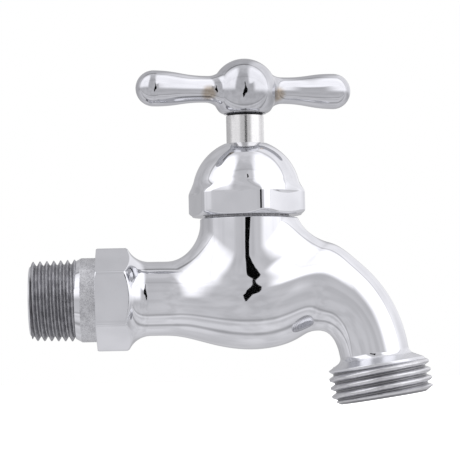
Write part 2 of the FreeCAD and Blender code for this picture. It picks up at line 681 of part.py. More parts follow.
def arm_seams(tee):
    """Return the edges where the arms meet the hub."""
    seams = []
    for edge in tee.Edges:
        if edge.Degenerated:
            continue
        points = edge.discretize(7)
        on_arm = all(abs(math.hypot(p.y, p.z - ARM_HEIGHT) - ARM_NECK_R) < 0.02 for p in points)
        near_hub = all(abs(p.x) < HUB_R + 0.5 for p in points)
        if on_arm and near_hub and not isinstance(edge.Curve, Part.Line):
            seams.append(edge)
    return seams


PIECES = {
    "body": body,
    "valve_seat": valve_seat,
    "seat_washer": seat_washer,
    "disc_holder": disc_holder,
    "washer_screw": washer_screw,
    "stem": stem,
    "stem_guide": stem_guide,
    "guide_gasket": guide_gasket,
    "packing_washer": packing_washer,
    "stem_packing": stem_packing,
    "bonnet_nut": bonnet_nut,
    "handle": handle,
}


def main():
    """Write one STEP file for each piece and print its volume."""
    os.makedirs("parts", exist_ok=True)
    for name, make in PIECES.items():
        shape = make()
        shape.exportStep("parts/" + name + ".step")
        print(name, len(shape.Solids), shape.isValid(), round(shape.Volume, 1))


main()
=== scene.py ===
"""Looks of a chrome hose bibb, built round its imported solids.

Sizes in the classes are millimetres in the frame of the solids; meshes are made in metres.
"""
import logging
import math
from dataclasses import dataclass, field
from enum import Enum, IntEnum
from typing import Any, Callable, Sequence

import bpy
import numpy as np
from mathutils import Matrix, Vector


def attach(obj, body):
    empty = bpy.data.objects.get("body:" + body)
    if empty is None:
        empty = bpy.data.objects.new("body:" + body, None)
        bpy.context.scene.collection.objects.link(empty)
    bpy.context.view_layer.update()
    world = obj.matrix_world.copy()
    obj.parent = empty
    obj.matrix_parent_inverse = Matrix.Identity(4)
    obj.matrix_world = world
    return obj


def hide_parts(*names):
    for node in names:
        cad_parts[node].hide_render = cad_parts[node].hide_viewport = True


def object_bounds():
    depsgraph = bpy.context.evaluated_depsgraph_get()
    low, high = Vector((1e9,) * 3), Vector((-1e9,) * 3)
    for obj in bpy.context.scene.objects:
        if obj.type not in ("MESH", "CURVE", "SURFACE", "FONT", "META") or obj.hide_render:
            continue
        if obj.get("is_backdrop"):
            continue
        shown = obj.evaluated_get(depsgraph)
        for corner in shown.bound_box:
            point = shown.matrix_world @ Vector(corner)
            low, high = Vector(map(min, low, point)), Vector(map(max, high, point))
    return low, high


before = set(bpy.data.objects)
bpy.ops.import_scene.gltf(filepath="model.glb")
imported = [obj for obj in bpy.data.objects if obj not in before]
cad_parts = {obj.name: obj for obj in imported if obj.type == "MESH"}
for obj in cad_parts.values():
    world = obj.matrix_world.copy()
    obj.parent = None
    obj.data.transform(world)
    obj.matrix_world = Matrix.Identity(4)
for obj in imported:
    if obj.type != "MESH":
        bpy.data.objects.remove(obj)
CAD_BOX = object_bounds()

LOG = logging.getLogger("hose_bibb")
MM = 0.001
Array = np.ndarray
Field = Callable[[Array, Array, Array], Array]
EAST, NORTH, UP = np.eye(3)


class Bodies(Enum):
    """The moving bodies of the tap."""

    CASTING = "root"
    STEM = "stem_unit"


class Slots(Enum):
    """The material slots of the record that new pieces use."""

    CHROME = "chrome_plate"
    STEM = "satin_stem"


class Plate(IntEnum):
    """The casting's finishes, in the order of its materials."""

    CHROME = 0
    THREAD = 1
    LAND = 2
    HOSE = 3
    SOFT = 4


# Node trees


class Value:
    """A socket that takes part in sums: each operator adds a Math node."""

    def __init__(self, nodes: "Nodes", socket: Any) -> None:
        """Wrap a socket of a tree."""
        self.nodes = nodes
        self.socket = socket

    def __add__(self, other: Any) -> "Value":
        """Return self + other."""
        return self.nodes.maths("ADD", self, other)

    __radd__ = __add__

    def __sub__(self, other: Any) -> "Value":
        """Return self - other."""
        return self.nodes.maths("SUBTRACT", self, other)

    def __rsub__(self, other: Any) -> "Value":
        """Return other - self."""
        return self.nodes.maths("SUBTRACT", other, self)

    def __mul__(self, other: Any) -> "Value":
        """Return self * other."""
        return self.nodes.maths("MULTIPLY", self, other)

    def __truediv__(self, other: Any) -> "Value":
        """Return self / other."""
        return self.nodes.maths("DIVIDE", self, other)


class Nodes:
    """Adds nodes to one shader or geometry tree."""

    def __init__(self, tree: bpy.types.NodeTree) -> None:
        """Take the tree and empty it."""
        self.tree = tree
        tree.nodes.clear()

    def put(self, socket: Any, value: Any) -> None:
        """Link a value to a socket, or set the socket's own value.

        Args:
            socket: an input socket.
            value: a value, an output socket or a plain value.
        """
        if isinstance(value, Value):
            value = value.socket
        if isinstance(value, bpy.types.NodeSocket):
            self.tree.links.new(value, socket)
        else:
            socket.default_value = value

    def add(self, kind: str, values: dict | None = None, **settings: Any) -> bpy.types.Node:
        """Add a node.

        Args:
            kind: the node's type.
            values: values or links for its input sockets, by name or number.
            settings: the node's own settings; stops are a ramp's (place, colour) pairs.

        Returns:
            The node.
        """
        node = self.tree.nodes.new(kind)
        for name, setting in settings.items():
            if name == "stops":
                self._set_stops(node.color_ramp, setting)
            else:
                setattr(node, name, setting)
        for key, value in (values or {}).items():
            self.put(node.inputs[key], value)
        return node

    @staticmethod
    def _set_stops(ramp: Any, stops: Sequence[tuple[float, Sequence[float]]]) -> None:
        """Give a ramp its stops.

        Args:
            ramp: the node's colour ramp.
            stops: (place, colour) pairs.
        """
        while len(ramp.elements) < len(stops):
            ramp.elements.new(0.5)
        for element, (place, colour) in zip(ramp.elements, stops):
            element.position = place
            element.color = (*colour, 1.0)

    def value(self, kind: str, values: dict | None = None, out: Any = 0, **settings: Any) -> Value:
        """Add a node and return one of its outputs as a value."""
        return Value(self, self.add(kind, values, **settings).outputs[out])

    def maths(self, operation: str, *values: Any) -> Value:
        """Add a Math node and return its result."""
        return self.value("ShaderNodeMath", dict(enumerate(values)), operation=operation)

    def ramp(self, value: Any, low: float, high: float, start: float = 0.0, end: float = 1.0) -> Value:
        """Return a value that eases from start to end while another goes from low to high."""
        return self.value(
            "ShaderNodeMapRange", {0: value, 1: low, 2: high, 3: start, 4: end},
            interpolation_type="SMOOTHSTEP")

    def noise(self, at: Any, scale: float, detail: float = 3.0, rough: float = 0.5) -> Value:
        """Return a noise value from 0 to 1; scale counts grains per metre."""
        return self.value("ShaderNodeTexNoise",
                          {"Vector": at, "Scale": scale, "Detail": detail, "Roughness": rough})

    def stretch(self, at: Any, scale: Sequence[float], turn: Sequence[float] = (0.0, 0.0, 0.0)) -> Value:
        """Return coordinates turned and scaled."""
        return self.value("ShaderNodeMapping", {"Vector": at, "Rotation": turn, "Scale": scale})

    def mix(self, share: Any, first: Sequence[float], second: Sequence[float]) -> Value:
        """Return a colour between two colours.

        Args:
            share: the second colour's share.
            first, second: colours, or values that carry them.

        Returns:
            The mixed colour.
        """
        node = self.add("ShaderNodeMix", data_type="RGBA")
        share_at, first_at, second_at, colour_at = 0, 6, 7, 2
        self.put(node.inputs[share_at], share)
        self.put(node.inputs[first_at], (*first, 1.0) if isinstance(first, tuple) else first)
        self.put(node.inputs[second_at], (*second, 1.0) if isinstance(second, tuple) else second)
        return Value(self, node.outputs[colour_at])

    def bump(self, height: Any, distance: float, under: Any = None) -> Value:
        """Return a normal bumped by a height.

        Args:
            height: the height.
            distance: metres for a height of one.
            under: the normal under the bumps.

        Returns:
            The normal.
        """
        values = {"Height": height, "Distance": distance, "Strength": 1.0}
        if under is not None:
            values["Normal"] = under
        return self.value("ShaderNodeBump", values)


# Finishes


def blank_material(name: str) -> tuple[bpy.types.Material, Nodes]:
    """Return a new material and its empty tree.

    Args:
        name: the material's name.

    Returns:
        The material, and what adds nodes to it.
    """
    material = bpy.data.materials.new(name)
    material.use_nodes = True
    return material, Nodes(material.node_tree)


@dataclass(frozen=True)
class Finish:
    """A finish on Object coordinates."""

    METALLIC = 0.0
    name: str

    def varying(self, nodes: Nodes, at: Value) -> dict[str, Any]:
        """Return the links for the sockets that change over the surface."""
        return {}

    def material(self) -> bpy.types.Material:
        """Return the finish as a material.

        Returns:
            The material.
        """
        material, nodes = blank_material(self.name)
        at = nodes.value("ShaderNodeTexCoord", out="Object")
        values = {"Metallic": self.METALLIC, **self.varying(nodes, at)}
        shader = nodes.add("ShaderNodeBsdfPrincipled", values)
        nodes.add("ShaderNodeOutputMaterial", {"Surface": shader.outputs["BSDF"]})
        return material


@dataclass(frozen=True)
class Metal(Finish):
    """A finish that is metal all over."""

    METALLIC = 1.0


@dataclass(frozen=True)
class PolishedChrome(Metal):
    """Bright chrome over a hand-polished casting: faint waves, hairlines and pinholes."""

    tone: tuple[float, float, float] = (0.80, 0.805, 0.83)
    haze: tuple[float, float, float] = (0.74, 0.745, 0.77)
    wave: float = 0.0001
    gloss: float = 0.03
    tarnish: tuple[float, float, float] | None = None
    tarnish_at: tuple[tuple[float, float, float], ...] = ()
    tarnish_r: float = 3.5

    def varying(self, nodes: Nodes, at: Value) -> dict[str, Any]:
        """Return colour, roughness and normal.

        Args:
            nodes: the tree.
            at: the coordinates.

        Returns:
            Links by socket name.
        """
        cloud = nodes.noise(at, 90.0, 2.0)
        grain = nodes.noise(at, 1400.0, 4.0, 0.6)
        hair = nodes.noise(nodes.stretch(at, (1.0, 1.0, 0.08), (0.4, 0.7, 0.2)), 5200.0, 2.0)
        pits = nodes.ramp(nodes.noise(at, 2300.0, 1.0), 0.76, 0.82)
        colour = nodes.mix(nodes.ramp(cloud, 0.35, 0.7), self.tone, self.haze)
        if self.tarnish:
            for place in self.tarnish_at:
                spot = tuple(v * MM for v in place)
                away = nodes.value("ShaderNodeVectorMath", {0: at, 1: spot}, out="Value",
                                   operation="DISTANCE")
                stain = nodes.ramp(away, self.tarnish_r * 0.35 * MM, self.tarnish_r * MM, 1.0, 0.0)
                colour = nodes.mix(stain * (0.35 + grain * 0.9), colour, self.tarnish)
        rough = self.gloss + nodes.ramp(cloud, 0.4, 0.75) * 0.025 + grain * 0.02 + pits * 0.15
        height = nodes.noise(at, 75.0, 1.0) + nodes.noise(at, 230.0, 1.0) * 0.12
        normal = nodes.bump(height, self.wave)
        normal = nodes.bump(hair * 0.5 + pits * -2.0, 0.0000004, normal)
        return {"Base Color": colour, "Roughness": rough, "Normal": normal}


@dataclass(frozen=True)
class CutThread(Metal):
    """Machined thread under thin plate: dull grey flanks with torn tool marks, and, where an axis is given,
    painted shade that darkens the colour towards the roots.
    """

    bright: tuple[float, float, float] = (0.60, 0.60, 0.62)
    dull: tuple[float, float, float] = (0.30, 0.30, 0.315)
    streak: tuple[float, float, float] = (7.0, 0.6, 0.6)
    rough: float = 0.30
    relief: float = 0.00006
    axis: "Place | None" = None
    root_shade_radii: tuple[float, float] = (0.0, 1.0)

    def varying(self, nodes: Nodes, at: Value) -> dict[str, Any]:
        """Return colour, roughness and normal.

        Args:
            nodes: the tree.
            at: the coordinates.

        Returns:
            Links by socket name.
        """
        grain = nodes.noise(at, 3200.0, 5.0, 0.7)
        marks = nodes.noise(nodes.stretch(at, self.streak), 900.0, 4.0, 0.6)
        blotch = nodes.noise(at, 420.0, 3.0, 0.6)
        share = nodes.ramp(grain * 0.3 + marks * 0.45 + blotch * 0.25, 0.40, 0.62)
        # Painted shade: the colour darkens from the crest down to the root, by distance from the thread's
        # axis.
        if self.axis:
            off = nodes.value("ShaderNodeVectorMath", {0: at, 1: [v * MM for v in self.axis.origin]},
                              operation="SUBTRACT")
            off = nodes.value("ShaderNodeVectorMath", {0: off, 1: self.axis.along},
                              operation="CROSS_PRODUCT")
            off = nodes.value("ShaderNodeVectorMath", {0: off}, out="Value", operation="LENGTH")
            share = nodes.ramp(off, *(v * MM for v in self.root_shade_radii)) * (share * 0.3 + 0.7)
        colour = nodes.mix(share, self.dull, self.bright)
        rough = self.rough + grain * 0.18
        normal = nodes.bump(grain * 0.6 + marks * 1.2 + blotch * 1.5, self.relief)
        return {"Base Color": colour, "Roughness": rough, "Normal": normal}


@dataclass(frozen=True)
class CastLand(Metal):
    """As-cast metal under plate: fine sandy grain that polishing has not reached."""

    bright: tuple[float, float, float] = (0.76, 0.765, 0.785)
    dull: tuple[float, float, float] = (0.50, 0.50, 0.52)

    def varying(self, nodes: Nodes, at: Value) -> dict[str, Any]:
        """Return colour, roughness and normal.

        Args:
            nodes: the tree.
            at: the coordinates.

        Returns:
            Links by socket name.
        """
        grain = nodes.noise(at, 2600.0, 5.0, 0.65)
        patch = nodes.noise(at, 380.0, 3.0, 0.55)
        colour = nodes.mix(nodes.ramp(grain * 0.6 + patch * 0.4, 0.36, 0.62), self.dull, self.bright)
        normal = nodes.bump(grain + patch * 2.0, 0.00005)
        return {"Base Color": colour, "Roughness": 0.2 + grain * 0.18, "Normal": normal}


@dataclass(frozen=True)
class SatinSteel(Metal):
    """Turned and lightly polished bar: fine rings round the stem over a satin ground."""

    bright: tuple[float, float, float] = (0.86, 0.855, 0.845)
    dull: tuple[float, float, float] = (0.72, 0.715, 0.71)

    def varying(self, nodes: Nodes, at: Value) -> dict[str, Any]:
        """Return colour, roughness and normal.

        Args:
            nodes: the tree.
            at: the coordinates.

        Returns:
            Links by socket name.
        """
        rings = nodes.noise(nodes.stretch(at, (0.05, 0.05, 1.0)), 9000.0, 3.0, 0.6)
        grain = nodes.noise(at, 3000.0, 4.0, 0.65)
        patch = nodes.noise(at, 260.0, 3.0)
        share = nodes.ramp(rings * 0.4 + grain * 0.4 + patch * 0.2, 0.35, 0.65)
        colour = nodes.mix(share, self.dull, self.bright)
        normal = nodes.bump(rings * 0.6 + grain * 0.4, 0.000006)
        return {"Base Color": colour, "Roughness": 0.14 + grain * 0.08 + patch * 0.05, "Normal": normal}


@dataclass(frozen=True)
class BareBrass(Metal):
    """Machined brass, a little tarnished, with rings from the lathe about an upright axis."""

    bright: tuple[float, float, float] = (0.80, 0.60, 0.30)
    dull: tuple[float, float, float] = (0.52, 0.36, 0.16)

    def varying(self, nodes: Nodes, at: Value) -> dict[str, Any]:
        """Return colour, roughness and normal.

        Args:
            nodes: the tree.
            at: the coordinates.

        Returns:
            Links by socket name.
        """
        rings = nodes.noise(nodes.stretch(at, (0.06, 0.06, 1.0)), 5000.0, 3.0)
        blotch = nodes.noise(at, 420.0, 4.0, 0.6)
        colour = nodes.mix(nodes.ramp(blotch * 0.7 + rings * 0.3, 0.35, 0.65), self.bright, self.dull)
        return {"Base Color": colour, "Roughness": 0.22 + blotch * 0.2,
                "Normal": nodes.bump(rings + blotch * 0.5, 0.00001)}


@dataclass(frozen=True)
class SoftPiece(Finish):
    """Rubber, fibre or packing cord: a matte ground with grain, and a weave where it is a cord."""

    light: tuple[float, float, float] = (0.03, 0.03, 0.03)
    dark: tuple[float, float, float] = (0.015, 0.015, 0.016)
    rough: float = 0.6
    grains: float = 1500.0
    strands: float = 0.0

    def varying(self, nodes: Nodes, at: Value) -> dict[str, Any]:
        """Return colour, roughness and normal.

        Args:
            nodes: the tree.
            at: the coordinates.

        Returns:
            Links by socket name.
        """
        grain = nodes.noise(at, self.grains, 5.0, 0.65)
        height = grain
        if self.strands:
            height = height + nodes.value(
                "ShaderNodeTexWave", {"Vector": at, "Scale": self.strands, "Distortion": 2.0},
                out=1, wave_type="BANDS", bands_direction="DIAGONAL")
        share = nodes.ramp(height / (2.0 if self.strands else 1.0), 0.3, 0.7)
        colour = nodes.mix(share, self.dark, self.light)
        return {"Base Color": colour, "Roughness": self.rough + grain * 0.25,
                "Normal": nodes.bump(height, 0.00006)}


# Surfaces


def unit(vectors: Array) -> Array:
    """Return vectors scaled to a length of one."""
    return vectors / np.maximum(np.linalg.norm(vectors, axis=-1, keepdims=True), 1e-12)


def eased(share: Array) -> Array:
    """Return a share, kept from 0 to 1 and eased at both ends."""
    share = np.clip(share, 0.0, 1.0)
    return share * share * (3.0 - 2.0 * share)


def soft_min(first: Array, second: Array, blend: float) -> tuple[Array, Array]:
    """Return the rounded lesser of two values, and the first one's share in it."""
    share = np.clip(0.5 + 0.5 * (second - first) / blend, 0.0, 1.0)
    return second + (first - second) * share - blend * share * (1.0 - share), share


def fillet_union(first: Array, second: Array, cosine: Array, radius: Array) -> Array:
    """Join two distances with a rolling-ball fillet.

    Args:
        first, second: distances to the two surfaces.
        cosine: cosine of the angle between the surfaces' normals.
        radius: the ball's radius.

    Returns:
        The distance to the joined surface.
    """
    u, v = radius - first, radius - second
    cosine = np.clip(cosine, -0.98, 0.9995)
    in_corner = (u > cosine * v) & (v > cosine * u) & (u > 0.0) & (v > 0.0)
    away = np.sqrt(np.maximum(u * u + v * v - 2.0 * cosine * u * v, 0.0) / (1.0 - cosine ** 2))
    return np.where(in_corner, radius - away, np.minimum(first, second))


def gradient(shape: Field, points: Array, step: float = 0.01) -> Array:
    """Return the slope of a field at points, from four samples each.

    Args:
        shape: the field.
        points: rows of x, y and z.
        step: half the samples' spacing.

    Returns:
        The slope at each point.
    """
    slope = np.zeros_like(points)
    for corner in ((1, -1, -1), (-1, 1, -1), (-1, -1, 1), (1, 1, 1)):
        way = np.array(corner, float)
        at = points + way * step
        slope += shape(at[:, 0], at[:, 1], at[:, 2])[:, None] * way
    return slope / (4.0 * step)


@dataclass(frozen=True)
class Place:
    """An axis in space: where it starts, its direction and the two directions across it."""

    origin: tuple[float, float, float]
    along: tuple[float, float, float]
    across: tuple[float, float, float]

    def points(self, along: Array, first: Array, second: Array) -> Array:
        """Return points at distances along the axis and across it."""
        return np.array(self.origin) + self.directions(along, first, second)

    def directions(self, along: Array, first: Array, second: Array) -> Array:
        """Return vectors with these parts along the axis and across it.

        Args:
            along, first, second: the parts, as arrays that broadcast.

        Returns:
            The vectors.
        """
        axis, side = np.array(self.along), np.array(self.across)
        third = np.cross(axis, side)
        along, first, second = np.broadcast_arrays(along, first, second)
        return along[..., None] * axis + first[..., None] * side + second[..., None] * third

    def matrix(self) -> Matrix:
        """Return the turn and move, in metres, that takes +Z to this axis.

        Returns:
            The matrix.
        """
        axis, side = Vector(self.along), Vector(self.across)
        turn = Matrix((side, axis.cross(side), axis)).transposed().to_4x4()
        return Matrix.Translation(Vector(self.origin) * MM) @ turn


class Outline:
    """Half of a turned form's section: places along and out from the axis, with exact normals.

    The metal lies on the left of the way the outline runs.
    """

    def __init__(self) -> None:
        """Start with no points."""
        self.points: list[Array] = []
        self.normals: list[Array] = []

    @staticmethod
    def _right_of(way: Array) -> Array:
        """Return the direction to the right of a way, which is out of the metal."""
        return np.array([way[1], -way[0]])

    def run(self, *corners: tuple[float, ...], steps: int = 4) -> "Outline":
        """Add straight lines with rounded corners.

        Args:
            corners: (along, out) or (along, out, radius of the rounding).
            steps: the number of chords in each rounding.

        Returns:
            This outline.
        """
        places = [np.array(c[:2], float) for c in corners]
        rounds = [c[2] if len(c) > 2 else 0.0 for c in corners]
        ways = [unit(b - a) for a, b in zip(places, places[1:])]
        points, normals = [places[0]], [self._right_of(ways[0])]
        for i in range(1, len(places) - 1):
            before, after = ways[i - 1], ways[i]
            turn = math.atan2(before[0] * after[1] - before[1] * after[0], float(np.dot(before, after)))
            back = max(rounds[i], 0.02) * abs(math.tan(turn / 2.0))
            radius = back / max(abs(math.tan(turn / 2.0)), 1e-9)
            start = places[i] - before * back
            bulge = radius * math.copysign(1.0, turn)
            centre = start - self._right_of(before) * bulge
            for k in range(steps + 1):
                angle = turn * k / steps
                c, s = math.cos(angle), math.sin(angle)
                way = np.array([before[0] * c - before[1] * s, before[0] * s + before[1] * c])
                normal = self._right_of(way)
                points.append(centre + normal * bulge)
                normals.append(normal)
        points.append(places[-1])
        normals.append(self._right_of(ways[-1]))
        self.points += points
        self.normals += normals
        return self

    def arrays(self) -> tuple[Array, Array]:
        """Return the points and their normals."""
        return np.array(self.points), np.array(self.normals)

    def middles(self) -> Array:
        """Return the middle of each chord."""
        return 0.5 * (np.array(self.points[:-1]) + np.array(self.points[1:]))

    def turn_over(self) -> None:
        """Turn every normal round, for an outline that runs with the metal on its right."""
        self.normals = [-normal for normal in self.normals]


def new_object(name: str, data: Any) -> bpy.types.Object:
    """Return a new object that is linked to the scene.

    Args:
        name: the object's name.
        data: its mesh or camera.

    Returns:
        The object.
    """
    piece = bpy.data.objects.new(name, data)
    bpy.context.scene.collection.objects.link(piece)
    return piece


class Skin:
    """A closed surface in the making: points, normals, faces, and the finish of each face."""

    def __init__(self) -> None:
        """Start empty."""
        self.points: list[Array] = []
        self.normals: list[Array] = []
        self.faces: list[Array] = []
        self.marks: list[Array] = []
        self.count = 0

    def add_points(self, points: Array, normals: Array) -> Array:
        """Add points with normals and return their numbers.

        Args:
            points, normals: arrays whose last axis is x, y and z.

        Returns:
            The points' numbers.
        """
        self.points.append(points.reshape(-1, 3))
        self.normals.append(unit(normals.reshape(-1, 3)))
        first = self.count
        self.count += len(self.points[-1])
        return np.arange(first, self.count)

    def add_faces(self, faces: Array, mark: int = 0) -> None:
        """Add triangles or quads of one finish.

        Args:
            faces: rows of three or four points' numbers.
            mark: the finish's number.
        """
        if len(faces):
            self.faces.append(np.asarray(faces))
            self.marks.append(np.full(len(faces), mark))

    def add_grid(self, points: Array, normals: Array, marks: Sequence[int] | int = 0) -> Array:
        """Add rows of rings.

        Args:
            points, normals: arrays of rows by columns by three; the columns close round.
            marks: the finish of each strip between two rows, or of all of them.

        Returns:
            The points' numbers, rows by columns.
        """
        rows, columns = points.shape[:2]
        ids = self.add_points(points, normals).reshape(rows, columns)
        nxt = np.roll(ids, -1, axis=1)
        quads = np.stack([ids[:-1], nxt[:-1], nxt[1:], ids[1:]], axis=-1)
        for row in range(rows - 1):
            self.add_faces(quads[row], marks if isinstance(marks, int) else marks[row])
        return ids

    def close(self, ring: Array, centre: Array, normal: Array) -> None:
        """Close a ring of points to one point.

        Args:
            ring: the ring's numbers.
            centre, normal: the point and its normal.
        """
        middle = self.add_points(np.array([centre], float), np.array([normal], float))
        nxt = np.roll(ring, -1)
        self.add_faces(np.stack([ring, nxt, np.full(len(ring), middle[0])], axis=-1))

    def bridge(self, first: Array, second: Array) -> None:
        """Join two rings that have the same number of points by quads."""
        self.add_faces(np.stack([first, np.roll(first, -1), np.roll(second, -1), second], axis=-1))

    def stitch(self, first: Array, second: Array, place: Place) -> None:
        """Join two rings of points round an axis with triangles, whatever their numbers of points.

        Args:
            first, second: the rings' numbers.
            place: the axis they go round.
        """
        points = np.concatenate(self.points)
        rings = []
        for ring in (first, second):
            off = points[ring] - np.array(place.origin)
            side = np.array(place.across)
            third = np.cross(np.array(place.along), side)
            angle = np.arctan2(off @ third, off @ side)
            order = np.argsort(angle)
            rings.append((ring[order], angle[order]))
        (a, at), (b, bt) = rings
        i = j = 0
        faces = []
        while i < len(a) or j < len(b):
            next_a = at[i + 1] if i + 1 < len(a) else at[0] + 2 * math.pi
            next_b = bt[j + 1] if j + 1 < len(b) else bt[0] + 2 * math.pi
            if j >= len(b) or (i < len(a) and next_a <= next_b):
                faces.append((a[i % len(a)], a[(i + 1) % len(a)], b[j % len(b)]))
                i += 1
            else:
                faces.append((b[j % len(b)], b[(j + 1) % len(b)], a[i % len(a)]))
                j += 1
        self.add_faces(np.array(faces))

    def make(self, name: str, finishes: Sequence[bpy.types.Material]) -> bpy.types.Object:
        """Return the surface as an object, its faces turned outward and its normals exact.

        Args:
            name: the piece's name.
            finishes: the materials, in the order of the marks.

        Returns:
            The piece.
        """
        points = np.concatenate(self.points)
        normals = np.concatenate(self.normals)
        faces, marks = [], []
        for block, mark in zip(self.faces, self.marks):
            corners = points[block]
            facing = np.cross(corners[:, 2] - corners[:, 0], corners[:, -1] - corners[:, 1])
            if block.shape[1] == 3:
                facing = np.cross(corners[:, 1] - corners[:, 0], corners[:, 2] - corners[:, 0])
            wrong = (facing * normals[block].sum(axis=1)).sum(axis=1) < 0.0
            ordered = np.where(wrong[:, None], block[:, ::-1], block)
            faces += ordered.tolist()
            marks += mark.tolist()
        mesh = bpy.data.meshes.new(name)
        mesh.from_pydata((points * MM).tolist(), [], faces)
        for finish in finishes:
            mesh.materials.append(finish)
        mesh.polygons.foreach_set("material_index", np.array(marks, np.int32))
        mesh.polygons.foreach_set("use_smooth", np.ones(len(faces), bool))
        mesh.normals_split_custom_set_from_vertices(normals.tolist())
        mesh.update()
        return new_object(name, mesh)


def turned(skin: Skin, outline: Outline, place: Place, columns: Array,
           marks: Sequence[int] | int = 0, offset: Callable[[Array], Array] | None = None) -> Array:
    """Add a turned form to a skin.

    Args:
        skin: takes the form.
        outline: the form's half section.
        place: the axis it is turned about.
        columns: the angles of its columns.
        marks: the finish of each strip, or of all of them.
        offset: how far the section's centre stands off the axis, by place along it.

    Returns:
        The points' numbers, rows by columns.
    """
    points, normals = outline.arrays()
    along, out = points[:, :1], points[:, 1:]
    shift = offset(along) if offset else np.zeros_like(along)
    slope = (offset(along + 0.01) - offset(along - 0.01)) / 0.02 if offset else np.zeros_like(along)
    cos, sin = np.cos(columns)[None, :], np.sin(columns)[None, :]
    grid = place.points(along, shift + out * cos, out * sin)
    lean = normals[:, :1] - slope * cos * normals[:, 1:]
    return skin.add_grid(grid, place.directions(lean, normals[:, 1:] * cos, normals[:, 1:] * sin), marks)


@dataclass
class HexForm:
    """A hexagon cut by a turned envelope, and perhaps with a turned core that stands out of its flats."""

    flats: float
    turn: float
    corner_round: float
    blend: float
    envelope: Callable[[Array], Array]
    core: Callable[[Array], Array] | None = None
    core_blend: float = 0.2
    crispness: float = 0.0

    def columns(self, spread: int = 30) -> Array:
        """Return column angles, close together round the corners.

        Args:
            spread: columns between two corners.

        Returns:
            The angles in radians.
        """
        half = 0.5 * self.flats
        corner = math.degrees(math.atan2(self.corner_round * 0.5, half / math.cos(math.radians(30.0))))
        near = np.linspace(-corner, corner, 7)
        span = np.linspace(corner, 60.0 - corner, spread + 2)[1:-1]
        one = np.concatenate([near, span])
        return np.radians(np.concatenate([one + self.turn + 30.0 + 60.0 * k for k in range(6)]))

    def _polygon(self, columns: Array) -> tuple[Array, Array]:
        """Return the hexagon's radius in each direction, and its slope round the axis.

        Args:
            columns: the columns' angles.

        Returns:
            Radius and slope of each column.
        """
        half, soft = 0.5 * self.flats, self.corner_round
        if self.crispness:
            off = columns[:, None] - np.radians(self.turn + np.array([0.0, 60.0, 120.0]))
            cos, sin, power = np.cos(off), np.sin(off), self.crispness
            total = (np.abs(cos) ** power).sum(axis=1)
            slope = (np.abs(cos) ** (power - 1.0) * np.sign(cos) * sin).sum(axis=1) / total
            return half * total ** (-1.0 / power), slope
        off = np.radians((np.degrees(columns) - self.turn + 30.0) % 60.0 - 30.0)
        reach = (half - soft) / math.cos(math.radians(30.0))
        side = off - np.copysign(math.radians(30.0), off)
        radius = half / np.cos(off)
        slope = np.tan(off)
        on_arc = np.abs(half * np.tan(off)) > (half - soft) * math.tan(math.radians(30.0))
        arc = reach * np.cos(side) + np.sqrt(np.maximum(soft ** 2 - (reach * np.sin(side)) ** 2, 0.0))
        nx, ny = (arc * np.cos(side) - reach) / soft, arc * np.sin(side) / soft
        n_out = nx * np.cos(side) + ny * np.sin(side)
        n_round = -nx * np.sin(side) + ny * np.cos(side)
        return np.where(on_arc, arc, radius), np.where(on_arc, -n_round / np.maximum(n_out, 0.1), slope)

    def radius(self, along: Array, columns: Array) -> tuple[Array, Array, Array]:
        """Return the form's radius, and its slopes along and round the axis.

        Args:
            along: places along the axis.
            columns: the columns' angles.

        Returns:
            Radius, slope along and slope round, rows by columns.
        """
        polygon, round_slope = self._polygon(columns)
        polygon, round_slope = polygon[None, :], round_slope[None, :]
        along = along[:, None]
        step = 0.005
        env = self.envelope(along)
        env_slope = (self.envelope(along + step) - self.envelope(along - step)) / (2 * step)
        radius, share = soft_min(env, polygon, self.blend)
        slope, around = share * env_slope, (1.0 - share) * round_slope
        if self.core:
            core = self.core(along)
            core_slope = (self.core(along + step) - self.core(along - step)) / (2 * step)
            negative, share = soft_min(-core, -radius, self.core_blend)
            radius = -negative
            slope = share * core_slope + (1.0 - share) * slope
            around = (1.0 - share) * around
        return radius, slope, around

    def side(self, along: Array, columns: Array, place: Place) -> tuple[Array, Array]:
        """Return points and normals of the form's side, rows by columns.

        Args:
            along: places along the axis.
            columns: the columns' angles.
            place: the form's axis.

        Returns:
            Points and normals.
        """
        radius, slope, around = self.radius(along, columns)
        cos, sin = np.cos(columns)[None, :], np.sin(columns)[None, :]
        points = place.points(along[:, None] + 0.0 * cos, radius * cos, radius * sin)
        normals = place.directions(-slope, cos + around * sin, sin - around * cos)
        return points, unit(normals)

    def end(self, at: float, edge: float, inner: float, columns: Array, place: Place,
            steps: int = 4) -> tuple[Array, Array]:
        """Return a flat end: a ring at the inner radius, then the rounded edge up to the side.

        Args:
            at: place of the flat along the axis; the form lies beyond it.
            edge: radius of the rounded edge.
            inner: radius where the flat starts.
            columns: the angles of the columns.
            place: the form's axis.
            steps: chords in the rounded edge.

        Returns:
            Points and normals, from the inner ring outward.
        """
        _, side_normals = self.side(np.array([at + edge]), columns, place)
        rim = self.radius(np.array([at + edge]), columns)[0][0]
        cos, sin = np.cos(columns), np.sin(columns)
        face = place.directions(np.full_like(cos, -1.0), 0.0 * cos, 0.0 * sin)
        points = [place.points(np.full_like(cos, at), inner * cos, inner * sin)]
        normals = [face]
        for k in range(steps):
            angle = math.radians(90.0 * k / steps)
            out = rim - edge * (1.0 - math.sin(angle))
            points.append(place.points(np.full_like(cos, at + edge * (1.0 - math.cos(angle))),
                                       out * cos, out * sin))
            normals.append(unit(face * math.cos(angle) + side_normals[0] * math.sin(angle)))
        return np.array(points), np.array(normals)


